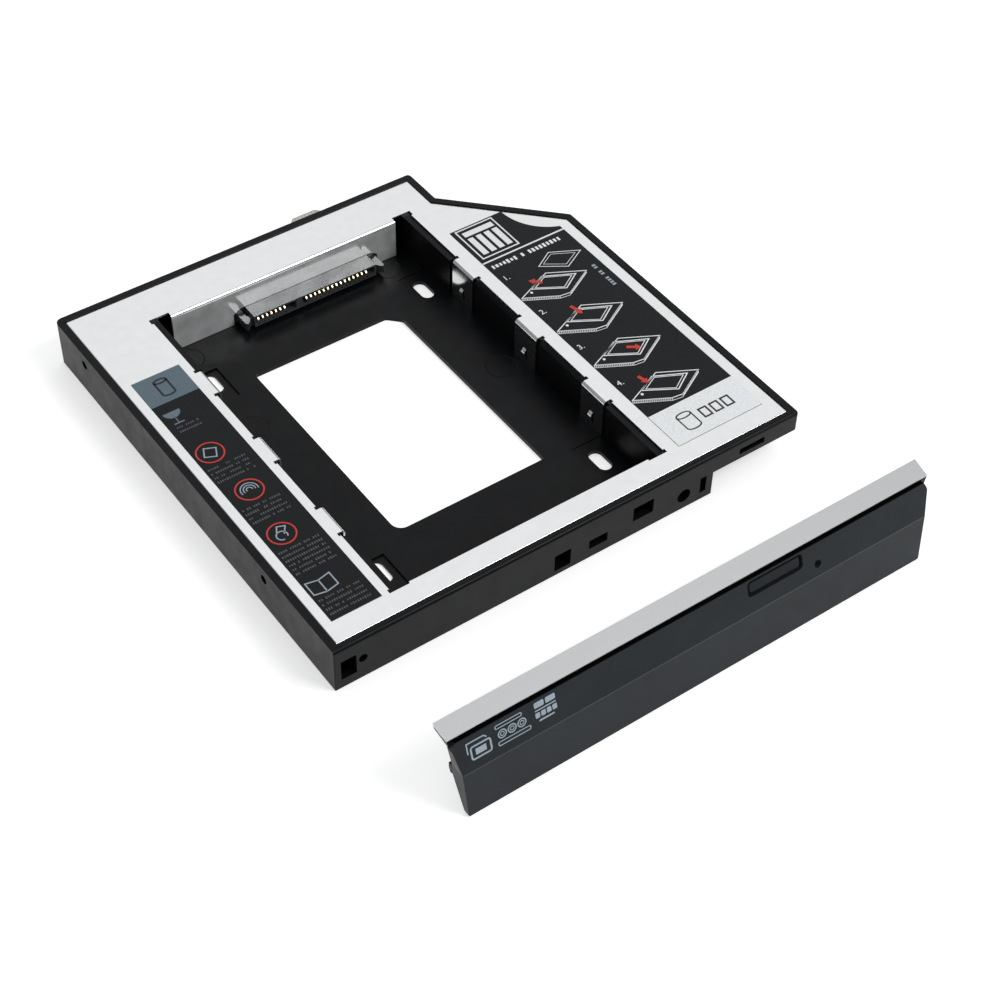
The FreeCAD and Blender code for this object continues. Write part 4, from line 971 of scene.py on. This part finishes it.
def face_piece(name, fields, material, lift=INK_HEIGHT):
    """Ink, painted highlight or painted shade on the leaning upper face: x from the face's middle, and the
    rise along it from the crease.
    """
    up = (BROW - CREASE).normalized()
    out = Vector((0, -up.z, up.y))
    leaning = [[(CREASE + Vector((FACE_MIDDLE + x, 0, 0)) + up * rise) * MM for x, rise in corners]
               for corners in fields]
    data = raised_mesh(name, leaning, out * lift)
    data.materials.append(material)
    piece = new_object(name, data)
    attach(piece, "faceplate")
    return piece


def rounded_block(left, low, right, high, radius):
    """The corners of a block with round corners."""
    corners = []
    for x, y, first in ((right - radius, high - radius, 0), (left + radius, high - radius, pi / 2),
                        (left + radius, low + radius, pi), (right - radius, low + radius, 1.5 * pi)):
        corners += arc((x, y), radius, first, first + pi / 2, 5)
    return corners


# a framed block under a bent line
marks = band(rounded_block(-59.6, 2.6, -54.9, 5.7, 0.5), 0.4, closed=True)
marks += band([(-60.4, 4.4), (-60.4, 7.0), (-56.3, 7.0), (-55.6, 6.4)], 0.3)
marks += [block(-58.6, 3.4, -56.0, 4.9)]

# three double rings between two flat frames
marks += band(rounded_block(-53.2, 2.4, -45.4, 3.3, 0.3), 0.22, closed=True)
marks += band(rounded_block(-53.4, 6.7, -47.0, 7.5, 0.3), 0.22, closed=True)
for middle in (-52.0, -49.6, -47.2):
    marks += ring((middle, 5.0), 0.95, 0.28) + ring((middle, 5.0), 0.45, 0.2)

# four upright blocks among flat ones
marks += [rounded_block(-43.9, 6.4, -41.5, 7.8, 0.3), rounded_block(-41.1, 6.4, -38.7, 7.8, 0.3)]
marks += [rounded_block(-43.9, 5.6, -38.7, 5.9, 0.1)]
marks += [rounded_block(left, 3.9, left + 1.1, 5.2, 0.2) for left in (-43.9, -42.5, -41.1, -39.7)]
marks += [rounded_block(-43.2, 2.9, -39.4, 3.3, 0.15)]
face_piece("face_marks", marks, printed_ink("mark_ink", MARK_INK))

# painted highlight: a lighter plastic draws the crease's fine line of light; painted shade: a near black
# band rings the button's recess
crease_highlight_paint = moulded_plastic("crease_highlight_paint", CREASE_PAINTED_HIGHLIGHT, roughness=0.3)
face_piece("face_crease", [block(*CREASE_HIGHLIGHT_LINE)], crease_highlight_paint, THIN_LIFT)
# painted shade: a near black band round the button's recess
recess_painted_shade = new_surface("recess_painted_shade", PAINTED_SHADE_BLACK, roughness=0.6, metallic=1.0)[0]
recess_shade_band = band(rounded_block(*RECESS), RECESS_SHADE_WIDTH, closed=True)
face_piece("button_recess_edge", recess_shade_band, recess_painted_shade, THIN_LIFT)


# Trim: a strip of silver-lacquered sheet bonded along the faceplate's ledge, whose lowest edge is
# painted near black, as painted shade of the groove below it
TRIM_SILVER = (0.62, 0.63, 0.63, 1)
TRIM_MOTTLE = 2600.0
TRIM_SHADE_TOP = 21.5
TRIM_EASE = 0.05

silver = rolled_steel("silver_lacquer", TRIM_SILVER, roughness=0.48, mottle=TRIM_MOTTLE)
# painted shade: below this height the trim turns near black
tinted_level(silver, TRIM_SHADE_TOP, TRIM_SHADE_TOP - TRIM_EASE, PAINTED_SHADE_BLACK)
finish_node("faceplate_trim", silver)


# Eject button: a cap of the faceplate's plastic, a shade darker and a little glossier
BUTTON_BLACK = shaded(FACE_BLACK, 0.8)

button_plastic = moulded_plastic("button_black_plastic", BUTTON_BLACK, roughness=0.33, grain=2400.0,
                                 depth=0.008 * MM, specular=0.12)
finish_node("eject_button", button_plastic)
